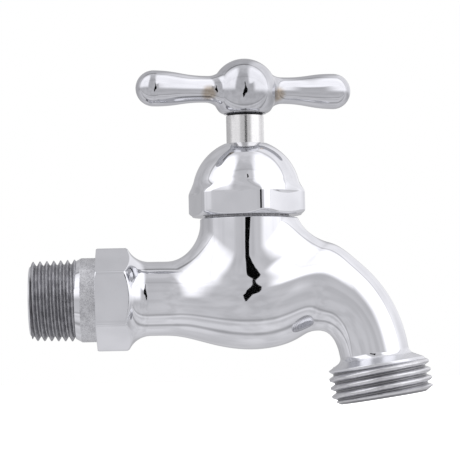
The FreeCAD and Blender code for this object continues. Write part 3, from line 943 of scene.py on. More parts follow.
class Net:
    """The zero surface of a field inside a box, as quads with open borders at the box."""

    AROUND = ((0, 0), (1, 0), (1, 1), (0, 1))

    def __init__(self, shape: Field, low: Sequence[float], high: Sequence[float], step: float) -> None:
        """Build the surface.

        Args:
            shape: the field, below zero inside the metal or the hollow.
            low, high: the box.
            step: size of the cells.
        """
        self.shape = shape
        axes = [np.arange(a, b + step * 0.5, step) for a, b in zip(low, high)]
        values = shape(axes[0][:, None, None], axes[1][None, :, None], axes[2][None, None, :])
        self.points, self.quads = self._surface(values, axes, step)
        self._settle()
        self.normals = unit(gradient(shape, self.points))
        self.borders = self._borders()

    @staticmethod
    def _ends(values: Array, axis: int, beside: slice) -> tuple[list[int], Array, Array]:
        """Return the other two axes, and the values at the two ends of every step along this one.

        Args:
            values: the field at the cells' corners.
            axis: the axis of the steps.
            beside: the part that is taken of the other two.

        Returns:
            The axes, and the values.
        """
        others = [a for a in range(3) if a != axis]
        start, end = [beside] * 3, [beside] * 3
        start[axis], end[axis] = slice(0, -1), slice(1, None)
        return others, values[tuple(start)], values[tuple(end)]

    @staticmethod
    def _surface(values: Array, axes: Sequence[Array], step: float) -> tuple[Array, Array]:
        """Return one point in each cell that the surface crosses, and the quads that join them.

        Args:
            values: the field at the cells' corners.
            axes: the corners' places.
            step: size of the cells.

        Returns:
            Points and quads.
        """
        cells = tuple(n - 1 for n in values.shape)
        total = np.zeros(cells + (3,))
        hits = np.zeros(cells)
        for axis in range(3):
            others, first, last = Net._ends(values, axis, slice(None))
            crossed = (first < 0.0) != (last < 0.0)
            share = np.where(crossed, first / np.where(crossed, first - last, 1.0), 0.0)
            for i, j in Net.AROUND:
                cut = [slice(None)] * 3
                cut[others[0]] = slice(i, i + cells[others[0]])
                cut[others[1]] = slice(j, j + cells[others[1]])
                hit = crossed[tuple(cut)]
                hits += hit
                total[..., axis] += share[tuple(cut)] * hit
                total[..., others[0]] += i * hit
                total[..., others[1]] += j * hit
        active = np.argwhere(hits > 0)
        ids = np.full(cells, -1)
        ids[tuple(active.T)] = np.arange(len(active))
        inside = total[tuple(active.T)] / hits[tuple(active.T)][:, None]
        points = np.array([axes[k][0] for k in range(3)]) + (active + inside) * step
        quads = []
        for axis in range(3):
            others, first, last = Net._ends(values, axis, slice(1, -1))
            at = np.argwhere((first < 0.0) != (last < 0.0))
            corners = []
            for i, j in Net.AROUND:
                cell = at.copy()
                cell[:, others[0]] += i
                cell[:, others[1]] += j
                corners.append(ids[tuple(cell.T)])
            quads.append(np.stack(corners, axis=-1))
        return points, np.concatenate(quads)

    def _edges(self) -> tuple[Array, Array, Array]:
        """Return the lower and higher point of every edge, and how many quads share it.

        Returns:
            Lower points, higher points and counts.
        """
        beyond = np.roll(self.quads, -1, axis=1)
        low, high = np.minimum(self.quads, beyond), np.maximum(self.quads, beyond)
        numbers, uses = np.unique(low * len(self.points) + high, return_counts=True)
        return numbers // len(self.points), numbers % len(self.points), uses

    def _settle(self, rounds: int = 5) -> None:
        """Spread the points evenly and bring them onto the surface.

        Args:
            rounds: how often both are done.
        """
        low, high, uses = self._edges()
        count = len(self.points)
        on_border = np.zeros(count, bool)
        on_border[np.concatenate([low[uses == 1], high[uses == 1]])] = True
        start, end = np.concatenate([low, high]), np.concatenate([high, low])
        degree = np.bincount(start, minlength=count)[:, None]
        for turn in range(rounds):
            if turn:
                mean = np.stack([np.bincount(start, self.points[end, k], count)
                                 for k in range(3)], axis=1) / degree
                pull = np.where(on_border[:, None], 0.0, 0.6 * (mean - self.points))
                self.points = self.points + pull
            slope = gradient(self.shape, self.points)
            value = self.shape(*self.points.T)
            move = slope * (value / np.maximum((slope ** 2).sum(axis=1), 0.2))[:, None]
            self.points = self.points - np.clip(move, -0.3, 0.3)

    def _borders(self) -> list[Array]:
        """Return the rings of points at the open borders.

        Returns:
            The rings, in order round each border.
        """
        low, high, uses = self._edges()
        links: dict[int, list[int]] = {}
        for p, q in zip(low[uses == 1].tolist(), high[uses == 1].tolist()):
            links.setdefault(p, []).append(q)
            links.setdefault(q, []).append(p)
        rings, seen = [], set()
        for first in links:
            if first in seen:
                continue
            ring, here = [], first
            while here is not None:
                ring.append(here)
                seen.add(here)
                here = next((n for n in links[here] if n not in seen), None)
            rings.append(np.array(ring))
        return rings

    def border_near(self, place: Sequence[float]) -> Array:
        """Return the border ring whose middle is nearest to a place."""
        return min(self.borders, key=lambda r: float(
            np.linalg.norm(self.points[r].mean(axis=0) - np.array(place))))

    def add_to(self, skin: Skin, flip: bool = False) -> int:
        """Add the surface to a skin and return the number of its first point.

        Args:
            skin: takes the surface.
            flip: whether it bounds a hollow.

        Returns:
            The first point's number.
        """
        first = skin.add_points(self.points, -self.normals if flip else self.normals)[0]
        skin.add_faces(self.quads + first)
        return int(first)


def ring_on(shape: Field, centre: Array, columns: Array, low: float, high: float) -> Array:
    """Return points where level rays from a centre meet a field's surface, one for each column.

    Args:
        shape: the field.
        centre: where the rays start.
        columns: the rays' angles.
        low, high: radii inside and outside the surface.

    Returns:
        The points.
    """
    halvings = 30
    rays = np.cos(columns)[:, None] * EAST + np.sin(columns)[:, None] * NORTH
    near, far = np.full(len(columns), low), np.full(len(columns), high)
    for _ in range(halvings):
        middle = 0.5 * (near + far)
        at = centre + rays * middle[:, None]
        inside = shape(at[:, 0], at[:, 1], at[:, 2]) < 0.0
        near, far = np.where(inside, middle, near), np.where(inside, far, middle)
    return centre + rays * (0.5 * (near + far))[:, None]


class Flow:
    """A passage or tube along a flat path: a smooth run of round or oval sections.

    Places are looked for in every twelfth sample of the path first, a batch of points at a time, and
    then between two samples by false position.
    """

    SAMPLES = 1600
    COARSE = slice(None, None, 12)
    BATCH = 20000
    ROUNDS = 4
    OUT_OF_REACH = 100.0

    def __init__(self, sections: Sequence[tuple[float, ...]]) -> None:
        """Take the sections.

        Args:
            sections: x, z, fall in degrees, upright radius and sideways radius of each, in order.
        """
        table = np.array(sections, float)
        knots = np.concatenate([[0.0], np.cumsum(np.hypot(*np.diff(table[:, :2], axis=0).T))])
        self.way = np.linspace(0.0, knots[-1], self.SAMPLES)
        fall = np.radians(table[:, 2])
        columns = [table[:, 0], table[:, 1], fall, table[:, 3], table[:, 4]]
        self.x, self.z, self.fall, self.r, self.side_r = (self._spline(knots, c, self.way) for c in columns)

    @staticmethod
    def _spline(knots: Array, values: Array, at: Array) -> Array:
        """Return a natural cubic spline through values at knots.

        Args:
            knots, values: what it goes through.
            at: where its values are wanted.

        Returns:
            The values.
        """
        gaps, count = np.diff(knots), len(knots)
        matrix, right = np.eye(count), np.zeros(count)
        for i in range(1, count - 1):
            matrix[i, i - 1:i + 2] = gaps[i - 1], 2 * (gaps[i - 1] + gaps[i]), gaps[i]
            ahead, behind = values[i + 1] - values[i], values[i] - values[i - 1]
            right[i] = 6 * (ahead / gaps[i] - behind / gaps[i - 1])
        bend = np.linalg.solve(matrix, right)
        k = np.clip(np.searchsorted(knots, at) - 1, 0, count - 2)
        h, a, b = gaps[k], knots[k + 1] - at, at - knots[k]
        return ((bend[k] * a ** 3 + bend[k + 1] * b ** 3) / (6 * h)
                + (values[k] / h - bend[k] * h / 6) * a + (values[k + 1] / h - bend[k + 1] * h / 6) * b)

    def _across(self, way: Array, x: Array, z: Array) -> tuple[Array, Array, Array]:
        """Return how far points are past a section's plane, their height in it, and the fall there.

        Args:
            way: the sections' places on the path.
            x, z: the points.

        Returns:
            Distance past the plane, height and fall.
        """
        fall = np.interp(way, self.way, self.fall)
        dx, dz = x - np.interp(way, self.way, self.x), z - np.interp(way, self.way, self.z)
        return dx * np.cos(fall) - dz * np.sin(fall), dx * np.sin(fall) + dz * np.cos(fall), fall

    def nearest(self, x: Array, z: Array) -> Array:
        """Return the place along the path whose section holds each point.

        Args:
            x, z: the points.

        Returns:
            The sections' places on the path.
        """
        x, z = np.broadcast_arrays(x, z)
        flat_x, flat_z = x.ravel(), z.ravel()
        low, high = np.empty(len(flat_x)), np.empty(len(flat_x))
        rows = (self.way, self.x, self.z, self.fall, self.r)
        ways, x0, z0, fall, radius = (row[self.COARSE] for row in rows)
        for start in range(0, len(flat_x), self.BATCH):
            part = slice(start, start + self.BATCH)
            dx, dz = flat_x[part, None] - x0, flat_z[part, None] - z0
            past, gap = dx * np.cos(fall) - dz * np.sin(fall), np.hypot(dx, dz) - radius
            crossed = (past[:, :-1] >= 0.0) & (past[:, 1:] < 0.0)
            best = np.argmin(np.where(crossed, gap[:, :-1], gap[:, :-1] + self.OUT_OF_REACH), axis=1)
            missed = ~crossed[np.arange(len(best)), best]
            low[part], high[part] = ways[best], ways[best + 1]
            before, beyond = missed & (past[:, 0] < 0.0), missed & (past[:, -1] >= 0.0)
            low[part][before] = high[part][before] = 0.0
            low[part][beyond] = high[part][beyond] = self.way[-1]
        below, above = (self._across(end, flat_x, flat_z)[0] for end in (low, high))
        for _ in range(self.ROUNDS):
            span = below - above
            share = np.clip(below / np.where(np.abs(span) < 1e-9, 1.0, span), 0.02, 0.98)
            way = low + (high - low) * share
            past = self._across(way, flat_x, flat_z)[0]
            kept = past >= 0.0
            low, below = np.where(kept, way, low), np.where(kept, past, below)
            high, above = np.where(kept, high, way), np.where(kept, above, past)
        return way.reshape(x.shape)

    def field(self, x: Array, y: Array, z: Array) -> tuple[Array, Array]:
        """Return the distance to the tube, and the direction away from it.

        Args:
            x, y, z: the places.

        Returns:
            Distance and direction.
        """
        way = self.nearest(x, z)
        _, height, fall = self._across(way, x, z)
        tall, wide = np.interp(way, self.way, self.r), np.interp(way, self.way, self.side_r)
        share = np.sqrt((height / tall) ** 2 + (y / wide) ** 2 + 1e-9)
        up, out = height / tall ** 2, y / wide ** 2
        slope = np.sqrt(up ** 2 + out ** 2 + 1e-12)
        normal = np.stack(np.broadcast_arrays(up * np.sin(fall), out, up * np.cos(fall)), axis=0) / slope
        return (share - 1.0) * share / slope, normal

    def ends(self, x: Array, z: Array) -> Array:
        """Return how far points are outside the planes of the two ends, below zero between them.

        Args:
            x, z: the points.

        Returns:
            The distances.
        """
        start = -self._across(np.zeros_like(x * z), x, z)[0]
        finish = self._across(np.full_like(x * z, self.way[-1]), x, z)[0]
        return np.maximum(start, finish)


# Threads


@dataclass
class ScrewThread:
    """A screw thread's ridge, wound by Geometry Nodes on a core.

    The ridge starts at `start` along the axis, and `lead` is the radius that a chamfer
    leaves it at the axis's origin.
    """

    start: float
    pitch: float
    turns: float
    root: float
    height: float
    taper: float
    width: float
    phase: float = 0.0
    lead: float = 99.0
    lead_slope: float = 1.0
    bed: float = 0.3
    run_in: float = 0.3
    run_out: float = 0.5
    crest: float = 1.0
    softness: float = 0.25
    first: float = 0.03
    around: int = 72
    across: int = 13

    LENGTHS = ("start", "pitch", "root", "height", "width", "lead", "bed", "first")
    PLAIN = ("turns", "taper", "phase", "lead_slope", "run_in", "run_out", "crest", "softness")
    COUNTS = ("around", "across")

    @staticmethod
    def tree() -> bpy.types.NodeTree:
        """Return the tree that winds a ridge along +Z, built once.

        Returns:
            The tree.
        """
        known = bpy.data.node_groups.get("thread_winder")
        if known:
            return known
        tree = bpy.data.node_groups.new("thread_winder", "GeometryNodeTree")
        numbers = ScrewThread.LENGTHS + ScrewThread.PLAIN
        kinds = {**dict.fromkeys(numbers, "Float"), **dict.fromkeys(ScrewThread.COUNTS, "Int"),
                 "finish": "Material"}
        for name, kind in kinds.items():
            tree.interface.new_socket(name=name, in_out="INPUT", socket_type="NodeSocket" + kind)
        tree.interface.new_socket(name="Geometry", in_out="OUTPUT", socket_type="NodeSocketGeometry")
        nodes = Nodes(tree)
        given = nodes.add("NodeGroupInput")
        take = {name: Value(nodes, given.outputs[name]) for name in kinds}
        across = take["across"]
        segments = take["turns"] * take["around"]
        bar = nodes.add("GeometryNodeMeshCylinder",
                        {"Vertices": across, "Side Segments": segments, "Radius": 1.0, "Depth": 1.0},
                        fill_type="NGON")
        parts = nodes.add("ShaderNodeSeparateXYZ", {0: nodes.value("GeometryNodeInputPosition")})
        x, y, z = (Value(nodes, parts.outputs[k]) for k in range(3))
        share = nodes.maths("FRACT", nodes.maths("ARCTAN2", y, x) / (2.0 * math.pi) + 1.0)
        corner = nodes.maths("MODULO", nodes.maths("ROUND", share * across), across)
        over = corner / (across - 1.0)
        hill = 1.0 - nodes.maths("ABSOLUTE", over * 2.0 - 1.0)
        hill = nodes.maths("SMOOTH_MIN", hill * take["crest"], 1.0, take["softness"])
        turn = (z + 0.5) * take["turns"]
        rise = nodes.value("ShaderNodeMapRange", {0: turn, 1: 0.0, 2: take["run_in"], 3: 0.02, 4: 1.0})
        fall = nodes.value("ShaderNodeMapRange",
                           {0: turn, 1: take["turns"] - take["run_out"], 2: take["turns"], 3: 1.0, 4: 0.02})
        along = take["start"] + take["pitch"] * turn + (over - 0.5) * take["width"]
        along = nodes.maths("MAXIMUM", along, take["first"])
        peak = (take["height"] + take["bed"]) * hill * rise * fall
        radius = take["root"] + take["taper"] * along - take["bed"] + peak
        radius = nodes.maths("MINIMUM", radius, take["lead"] + take["lead_slope"] * along)
        angle = turn * (2.0 * math.pi) + take["phase"]
        place = nodes.value("ShaderNodeCombineXYZ", {
            0: radius * nodes.maths("COSINE", angle), 1: radius * nodes.maths("SINE", angle), 2: along})
        wound = nodes.value("GeometryNodeSetPosition", {"Geometry": bar.outputs["Mesh"], "Position": place})
        smooth = nodes.value("GeometryNodeSetShadeSmooth", {"Geometry": wound})
        real = nodes.value("GeometryNodeRealizeInstances", {"Geometry": smooth})
        dressed = nodes.value("GeometryNodeSetMaterial", {"Geometry": real, "Material": take["finish"]})
        nodes.add("NodeGroupOutput", {"Geometry": dressed})
        return tree

    def wind(self, name: str, place: Place, finish: bpy.types.Material) -> bpy.types.Object:
        """Return the ridge as an object.

        Args:
            name: the piece's name.
            place: the thread's axis.
            finish: its material.

        Returns:
            The piece, a plain mesh.
        """
        values = {name: getattr(self, name) * MM for name in self.LENGTHS}
        values |= {name: getattr(self, name) for name in self.PLAIN + self.COUNTS}
        values["finish"] = finish
        tree = self.tree()
        maker = new_object(name + "_maker", bpy.data.meshes.new(name + "_maker"))
        modifier = maker.modifiers.new("wind", "NODES")
        modifier.node_group = tree
        for item in tree.interface.items_tree:
            if item.in_out == "INPUT" and item.name in values:
                modifier[item.identifier] = values[item.name]
        bpy.context.view_layer.update()
        graph = bpy.context.evaluated_depsgraph_get()
        mesh = bpy.data.meshes.new_from_object(maker.evaluated_get(graph))
        bpy.data.objects.remove(maker)
        mesh.name = name
        mesh.transform(place.matrix())
        if signed_volume(mesh) < 0.0:
            mesh.flip_normals()
        mesh.set_sharp_from_angle(angle=math.radians(38.0))
        return new_object(name, mesh)


def signed_volume(mesh: bpy.types.Mesh) -> float:
    """Return a closed mesh's volume, below zero where its faces point inward.

    Args:
        mesh: the mesh.

    Returns:
        The volume in cubic metres.
    """
    total = 0.0
    for face in mesh.polygons:
        corners = [mesh.vertices[i].co for i in face.vertices]
        for b, c in zip(corners[1:], corners[2:]):
            total += corners[0].dot(b.cross(c)) / 6.0
    return total


# The tap


INLET = Place((0.0, 0.0, 0.0), (1.0, 0.0, 0.0), (0.0, 1.0, 0.0))
ROUND = np.radians(np.arange(0.0, 360.0, 2.0))


def upright(x: float) -> Place:
    """Return the upright axis that crosses the inlet's axis at x."""
    return Place((x, 0.0, 0.0), (0.0, 0.0, 1.0), (1.0, 0.0, 0.0))


def between(first: float, last: float, share: float) -> float:
    """Return the value a share of the way from the first to the last."""
    return first + (last - first) * share


def report(piece: bpy.types.Object, words: str) -> None:
    """Log a finished piece."""
    LOG.info("%s: %s, %d faces", piece.name, words, len(piece.data.polygons))


@dataclass
class Part:
    """A part of the tap, with the finishes it is dressed in."""

    finishes: dict[str, bpy.types.Material] = field(default_factory=dict)


@dataclass
class Casting(Part):
    """The one-piece body: inlet, hexagon, belly, neck, spout and outlet.

    swell holds the sections from barrel to belly: share of the way, of the drop, of the change of the
    upright and of the sideways radius, and fall in degrees. turning holds those from belly to shoulder:
    share of the reach, rise, upright and sideways change, and tilt. bores holds radius, bottom and top
    of the seat's hole and of the riser under it. way_in holds x, z and radius along the inlet's passage
    from its bore on. neck_fillets holds the fillet's radius on the inlet's and on the spout's side, and
    fillet_fade its least radius under the neck, the height where it starts to grow and over which.
    """

    bonnet_x: float = 57.4
    barrel_r: float = 9.72
    barrel_end: float = 33.0
    belly_r: float = 13.1
    belly_side_r: float = 13.9
    belly_drop: float = 0.7
    shoulder_r: float = 12.15
    shoulder_side_r: float = 9.95
    shoulder_reach: float = 19.2
    shoulder_rise: float = 1.77
    shoulder_tilt: float = 18.6
    spout_r: float = 9.05
    spout_offset: float = 0.5
    start_pull: float = 8.7
    end_pull: float = 9.0
    narrowing: float = 3.4
    swell: tuple = ((0.184, 0.10, 0.02, 0.04, 0.0), (0.451, 0.60, 0.30, 0.44, 2.0),
                    (0.717, 1.00, 0.74, 0.82, 1.0))
    turning: tuple = ((0.417, 0.324, -0.105, 0.25, 0.108), (0.771, 0.931, 0.105, 0.73, 0.511))
    neck_r: float = 12.35
    neck_top: float = 20.6
    neck_base: float = 3.0
    neck_fillets: tuple[float, float] = (9.0, 12.5)
    fillet_fade: tuple[float, float, float] = (0.2, -9.0, 7.0)
    neck_thread_r: float = 11.0
    neck_thread_top: float = 29.0
    chamber_r: float = 8.8
    chamber_floor: float = 4.0
    hex_flats: float = 23.8
    hex_face: float = 17.5
    land_r: float = 11.05
    inlet_root_r: float = 9.24
    inlet_bore_r: float = 6.4
    inlet_join: float = 33.8
    bores: tuple = ((7.05, -0.6, 6.0), (4.8, -6.6, 1.0))
    way_in: tuple = ((45.4, -4.0, 5.8), (51.8, -6.1, 5.3), (57.4, -6.6, 5.2))
    outlet_reach: float = 34.87
    outlet_drop: float = 27.23
    outlet_tilt: float = 8.0
    outlet_rise: float = 11.4
    spout_bore_r: float = 6.7
    flange_r: float = 12.6
    hose_root_r: float = 12.1
    mouth_r: float = 10.2
    mouth_bore_r: float = 7.6
    mouth_floor: float = 10.9
    step: float = 0.4
    cut_x: float = 34.0
    cut_low: float = -14.4
    cut_high: float = 19.6

    def __post_init__(self) -> None:
        """Work out the outlet's axis and the flow paths."""
        lean = math.radians(self.outlet_tilt)
        self.outlet = Place((self.bonnet_x + self.outlet_reach, 0.0, -self.outlet_drop),
                            (-math.sin(lean), 0.0, math.cos(lean)), (math.cos(lean), 0.0, math.sin(lean)))
        shell = [(x, 0.0, 0.0, self.barrel_r, self.barrel_r) for x in (25.0, 27.7, 30.4, self.barrel_end)]
        for way, drop, change, side_change, fall in self.swell:
            shell.append((between(self.barrel_end, self.bonnet_x, way), -self.belly_drop * drop, fall,
                          between(self.barrel_r, self.belly_r, change),
                          between(self.barrel_r, self.belly_side_r, side_change)))
        shell.append((self.bonnet_x, -self.belly_drop, 0.0, self.belly_r, self.belly_side_r))
        for way, rise, change, side_change, tilt in self.turning:
            shell.append((self.bonnet_x + self.shoulder_reach * way,
                          between(-self.belly_drop, self.shoulder_rise, rise), self.shoulder_tilt * tilt,
                          between(self.belly_r, self.shoulder_r, change),
                          between(self.belly_side_r, self.shoulder_side_r, side_change)))
        shell += self._spout(self.shoulder_r, self.shoulder_side_r, self.spout_r, self.shoulder_rise,
                             self.spout_offset)
        self.shell = Flow(shell)
        passage = [(self.bonnet_x + 2.0, 10.2, 6.0, 5.9, 5.9), (self.bonnet_x + 10.0, 8.0, 22.0, 6.2, 6.2)]
        passage += self._spout(6.9, 6.9, self.spout_bore_r, 3.9, 0.0)
        self.passage = Flow(passage)

    def _spout(self, start_r: float, start_side_r: float, end_r: float, rise: float,
               offset: float) -> list[tuple]:
        """Return sections from the shoulder along the spout and into the outlet's neck.

        Args:
            start_r, start_side_r: upright and sideways radius at the shoulder.
            end_r: radius at the outlet.
            rise: height at the shoulder.
            offset: how far it ends off the outlet's axis.

        Returns:
            Sections, as Flow takes them.
        """
        fall = math.radians(self.shoulder_tilt)
        up, side = np.array(self.outlet.along), np.array(self.outlet.across)
        end = np.array(self.outlet.origin) + up * self.outlet_rise - side * offset
        p0 = np.array([self.bonnet_x + self.shoulder_reach, 0.0, rise])
        p1 = p0 + np.array([math.cos(fall), 0.0, -math.sin(fall)]) * self.start_pull
        p2 = end + up * self.end_pull
        sections = []
        for t in np.linspace(0.0, 1.0, 7):
            s = 1.0 - t
            at = p0 * s ** 3 + p1 * 3 * s * s * t + p2 * 3 * s * t * t + end * t ** 3
            way = (p1 - p0) * s * s + (p2 - p1) * 2 * s * t + (end - p2) * t * t
            wide = s ** self.narrowing
            sections.append((at[0], at[2], math.degrees(math.atan2(-way[2], way[0])),
                             between(end_r, start_r, wide), between(end_r, start_side_r, wide)))
        for further in (2.5, 5.0, 7.5):
            at = end - up * further
            sections.append((at[0], at[2], 90.0 - self.outlet_tilt, end_r, end_r))
        return sections

    def outside(self, x: Array, y: Array, z: Array) -> Array:
        """Return the distance to the outside of barrel, belly, spout and neck.

        Args:
            x, y, z: the places.

        Returns:
            The distance, below zero inside.
        """
        tube, tube_normal = self.shell.field(x, y, z)
        dx, below = x - self.bonnet_x, np.minimum(z - self.neck_base, 0.0)
        flat = np.sqrt(dx ** 2 + y ** 2 + 1e-9)
        away = np.sqrt(flat ** 2 + below ** 2)
        neck = away - self.neck_r
        cosine = (tube_normal[0] * dx + tube_normal[1] * y + tube_normal[2] * below) / away
        near, far = self.neck_fillets
        full = 0.5 * (near + far) + 0.5 * (far - near) * dx / flat
        least, low, rise = self.fillet_fade
        return fillet_union(neck, tube, cosine, least + (full - least) * eased((z - low) / rise))

    def hollow(self, x: Array, y: Array, z: Array) -> Array:
        """Return the distance to the water way and the chamber.

        Args:
            x, y, z: the places.

        Returns:
            The distance, below zero in the hollow.
        """
        tube, _ = self.passage.field(x, y, z)
        exits = np.maximum(tube, self.passage.ends(x, z))
        flat = np.sqrt((x - self.bonnet_x) ** 2 + y ** 2)
        chamber = np.maximum(flat - self.chamber_r, self.chamber_floor - z)
        bores = [np.maximum(flat - r, np.maximum(low - z, z - high)) for r, low, high in self.bores]
        straight = ((20.0, 0.0, self.inlet_bore_r), (37.5, -0.3, self.inlet_bore_r))
        joined = exits
        for part in (chamber, *bores, self._chain(x, y, z, straight + self.way_in)):
            joined = soft_min(joined, part, 0.9)[0]
        return joined

    @staticmethod
    def _chain(x: Array, y: Array, z: Array, beads: Sequence[tuple[float, float, float]]) -> Array:
        """Return the distance to round cones between beads given by x, z and radius.

        Args:
            x, y, z: the places.
            beads: the beads, in order.

        Returns:
            The distance.
        """
        nearest = None
        for (x0, z0, r0), (x1, z1, r1) in zip(beads, beads[1:]):
            span = np.array([x1 - x0, z1 - z0])
            t = np.clip(((x - x0) * span[0] + (z - z0) * span[1]) / (span @ span), 0.0, 1.0)
            away = np.sqrt((x - x0 - span[0] * t) ** 2 + y ** 2 + (z - z0 - span[1] * t) ** 2)
            part = away - (r0 + (r1 - r0) * t)
            nearest = part if nearest is None else soft_min(nearest, part, 1.2)[0]
        return nearest

    def hexagon(self) -> HexForm:
        """Return the wrench hexagon, cut back to the barrel by a turned fillet.

        Returns:
            The form.
        """
        back, fillet, end = 0.6, 6.3, 31.5
        corner = 0.5 * self.hex_flats / math.cos(math.radians(30.0))
        top = self.barrel_r + fillet
        bevel_r = corner - back
        bevel_x = end - math.sqrt(fillet ** 2 - (top - bevel_r) ** 2)

        def envelope(x: Array) -> Array:
            """Return the turned envelope's radius.

            Args:
                x: places along the inlet's axis.

            Returns:
                The radii.
            """
            front = corner - 0.4 + (x - self.hex_face)
            rear = corner - (x - (bevel_x - back))
            inside = np.clip(fillet ** 2 - (x - end) ** 2, 0.0, None)
            hollow = np.where(x < end, top - np.sqrt(inside), self.barrel_r)
            cut = np.where(x < bevel_x, rear, hollow)
            return np.minimum(np.minimum(front, cut), corner)

        return HexForm(self.hex_flats, turn=0.0, corner_round=0.9, blend=0.6, envelope=envelope)

    def _inlet_end(self, skin: Skin) -> tuple[Array, Array]:
        """Add inlet thread core, land and hexagon; return the barrel's ring and the bore's.

        Args:
            skin: takes the surface.

        Returns:
            The two rings' numbers.
        """
        hexagon = self.hexagon()
        columns = hexagon.columns(26)
        edge, inner = 0.28, self.land_r + 0.25
        face, face_n = hexagon.end(self.hex_face, edge, inner, columns, INLET)
        rows = np.concatenate([np.linspace(self.hex_face + edge, 18.6, 5), np.linspace(19.2, 24.6, 8),
                               np.linspace(24.9, 31.6, 34), np.linspace(32.2, self.inlet_join, 3)])
        side, side_n = hexagon.side(rows, columns, INLET)
        root, bore = self.inlet_root_r, self.inlet_bore_r
        front = Outline().run((self.hex_face, inner), (self.hex_face, self.land_r, 0.12),
                              (13.6, self.land_r, 0.4), (12.0, 10.15, 0.3), (11.8, root + 0.37, 0.1),
                              (1.0, root, 0.05), (0.6, 9.5, 0.05), (0.0, 8.9, 0.1), (0.0, bore + 0.5, 0.1),
                              (0.5, bore, 0.1), (self.inlet_join, bore), steps=3)
        marks = []
        for middle, out in front.middles():
            plate = Plate.SOFT if middle < 0.6 else Plate.THREAD if middle < 12.0 else Plate.CHROME
            marks.append(Plate.LAND if 13.5 < middle < self.hex_face and out > 10.0 else plate)
        ids = turned(skin, front, INLET, columns, marks)
        outer = skin.add_grid(np.concatenate([face[1:], side]), np.concatenate([face_n[1:], side_n]))
        skin.bridge(ids[0], outer[0])
        return outer[-1], ids[-1]

    def _neck_end(self, skin: Skin) -> tuple[Array, Array]:
        """Add the neck's top and bonnet thread; return the outer ring and the bore's.

        Args:
            skin: takes the surface.

        Returns:
            The two rings' numbers.
        """
        rows, normals = [], []
        soft, chords, lowest = 0.28, 4, 19.8
        for height in (lowest, 20.05, self.neck_top - soft):
            ring = ring_on(self.outside, self.bonnet_x * EAST + height * UP, ROUND, 6.0, 20.0)
            rows.append(ring)
            normals.append(unit(gradient(self.outside, ring)))
        last, last_n = rows[-1], normals[-1]
        outward = unit((last - self.bonnet_x * EAST) * (1.0 - UP))
        for k in range(1, chords + 1):
            angle = math.radians(90.0 * k / chords)
            rows.append(last - outward * soft * (1.0 - math.cos(angle)) + UP * soft * math.sin(angle))
            normals.append(unit(last_n * math.cos(angle) + UP * math.sin(angle)))
        outer = skin.add_grid(np.array(rows), np.array(normals))
        top, inner = self.neck_thread_top, self.chamber_r
        outline = Outline().run((self.neck_top, 11.6), (self.neck_top, self.neck_thread_r, 0.15),
                                (top - 0.6, self.neck_thread_r, 0.1), (top, self.neck_thread_r - 0.6, 0.1),
                                (top, inner, 0.2), (lowest, inner), steps=3)
        outline.turn_over()
        ids = turned(skin, outline, upright(self.bonnet_x), ROUND, Plate.THREAD)
        skin.bridge(ids[0], outer[-1])
        return outer[0], ids[-1]

    def _outlet_end(self, skin: Skin) -> tuple[Array, Array]:
        """Add flare, shoulder, thread core and mouth; return the spout's ring and the bore's.

        Args:
            skin: takes the surface.

        Returns:
            The two rings' numbers.
        """
        height = self.cut_low - 0.2
        rise = (height + self.outlet_drop) / self.outlet.along[2]
        centre = np.array(self.outlet.origin) + np.array(self.outlet.along) * rise

        def offset(along: Array) -> Array:
            """Return how far the section's centre stands off the outlet's axis."""
            start, length = 8.4, 0.7
            return -self.spout_offset * eased((along - start) / length)

        flange, root, mouth = self.flange_r, self.hose_root_r, self.mouth_r
        outline = Outline().run((12.0, self.spout_r), (11.05, self.spout_r, 1.9), (9.15, flange, 0.3),
                                (8.55, flange, 0.15), (8.2, root, 0.15), (1.3, root, 0.3), (0.0, 10.8, 0.5),
                                (0.0, mouth, 0.15), (1.0, mouth, 0.12), (1.0, self.mouth_bore_r, 0.3),
                                (self.mouth_floor, self.mouth_bore_r, 0.3),
                                (self.mouth_floor, self.spout_bore_r, 0.3),
                                (self.outlet_rise, self.spout_bore_r), steps=5)
        marks = []
        for at, out in outline.middles():
            plate = Plate.HOSE if at < 8.3 else Plate.SOFT
            marks.append(Plate.CHROME if out <= 9.1 or at >= 11.0 else plate)
        ids = turned(skin, outline, self.outlet, ROUND, marks, offset)
        ring = ring_on(self.outside, centre - EAST * self.spout_offset, ROUND, 4.0, 14.0)
        bore = ring_on(self.hollow, centre, ROUND, 2.0, 9.0)
        outer = skin.add_points(ring, gradient(self.outside, ring))
        inner = skin.add_points(bore, -gradient(self.hollow, bore))
        skin.bridge(ids[0], outer)
        skin.bridge(ids[-1], inner)
        return outer, inner

    def build(self) -> bpy.types.Object:
        """Return the casting as one closed piece.

        Returns:
            The piece.
        """
        skin = Skin()
        shell = Net(self.outside, (self.cut_x, -15.2, self.cut_low), (103.2, 15.2, self.cut_high), self.step)
        hollow = Net(self.hollow, (self.cut_x, -9.6, self.cut_low), (101.2, 9.6, self.cut_high),
                     self.step * 1.5)
        first = shell.add_to(skin)
        second = hollow.add_to(skin, flip=True)
        spout_x = self.outlet.origin[0] - 1.9
        ends = (
            (self._inlet_end(skin), INLET, (self.cut_x, 0.0, 0.0)),
            (self._neck_end(skin), upright(self.bonnet_x), (self.bonnet_x, 0.0, self.cut_high)),
            (self._outlet_end(skin), upright(spout_x), (spout_x, 0.0, self.cut_low)),
        )
        for (outer, inner), place, near in ends:
            skin.stitch(outer, shell.border_near(near) + first, place)
            skin.stitch(inner, hollow.border_near(near) + second, place)
        piece = skin.make("tap_body", [self.finishes[plate.name.lower()] for plate in Plate])
        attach(piece, Bodies.CASTING.value)
        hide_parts("body")
        report(piece, "casting with hexagon, neck and spout")
        return piece

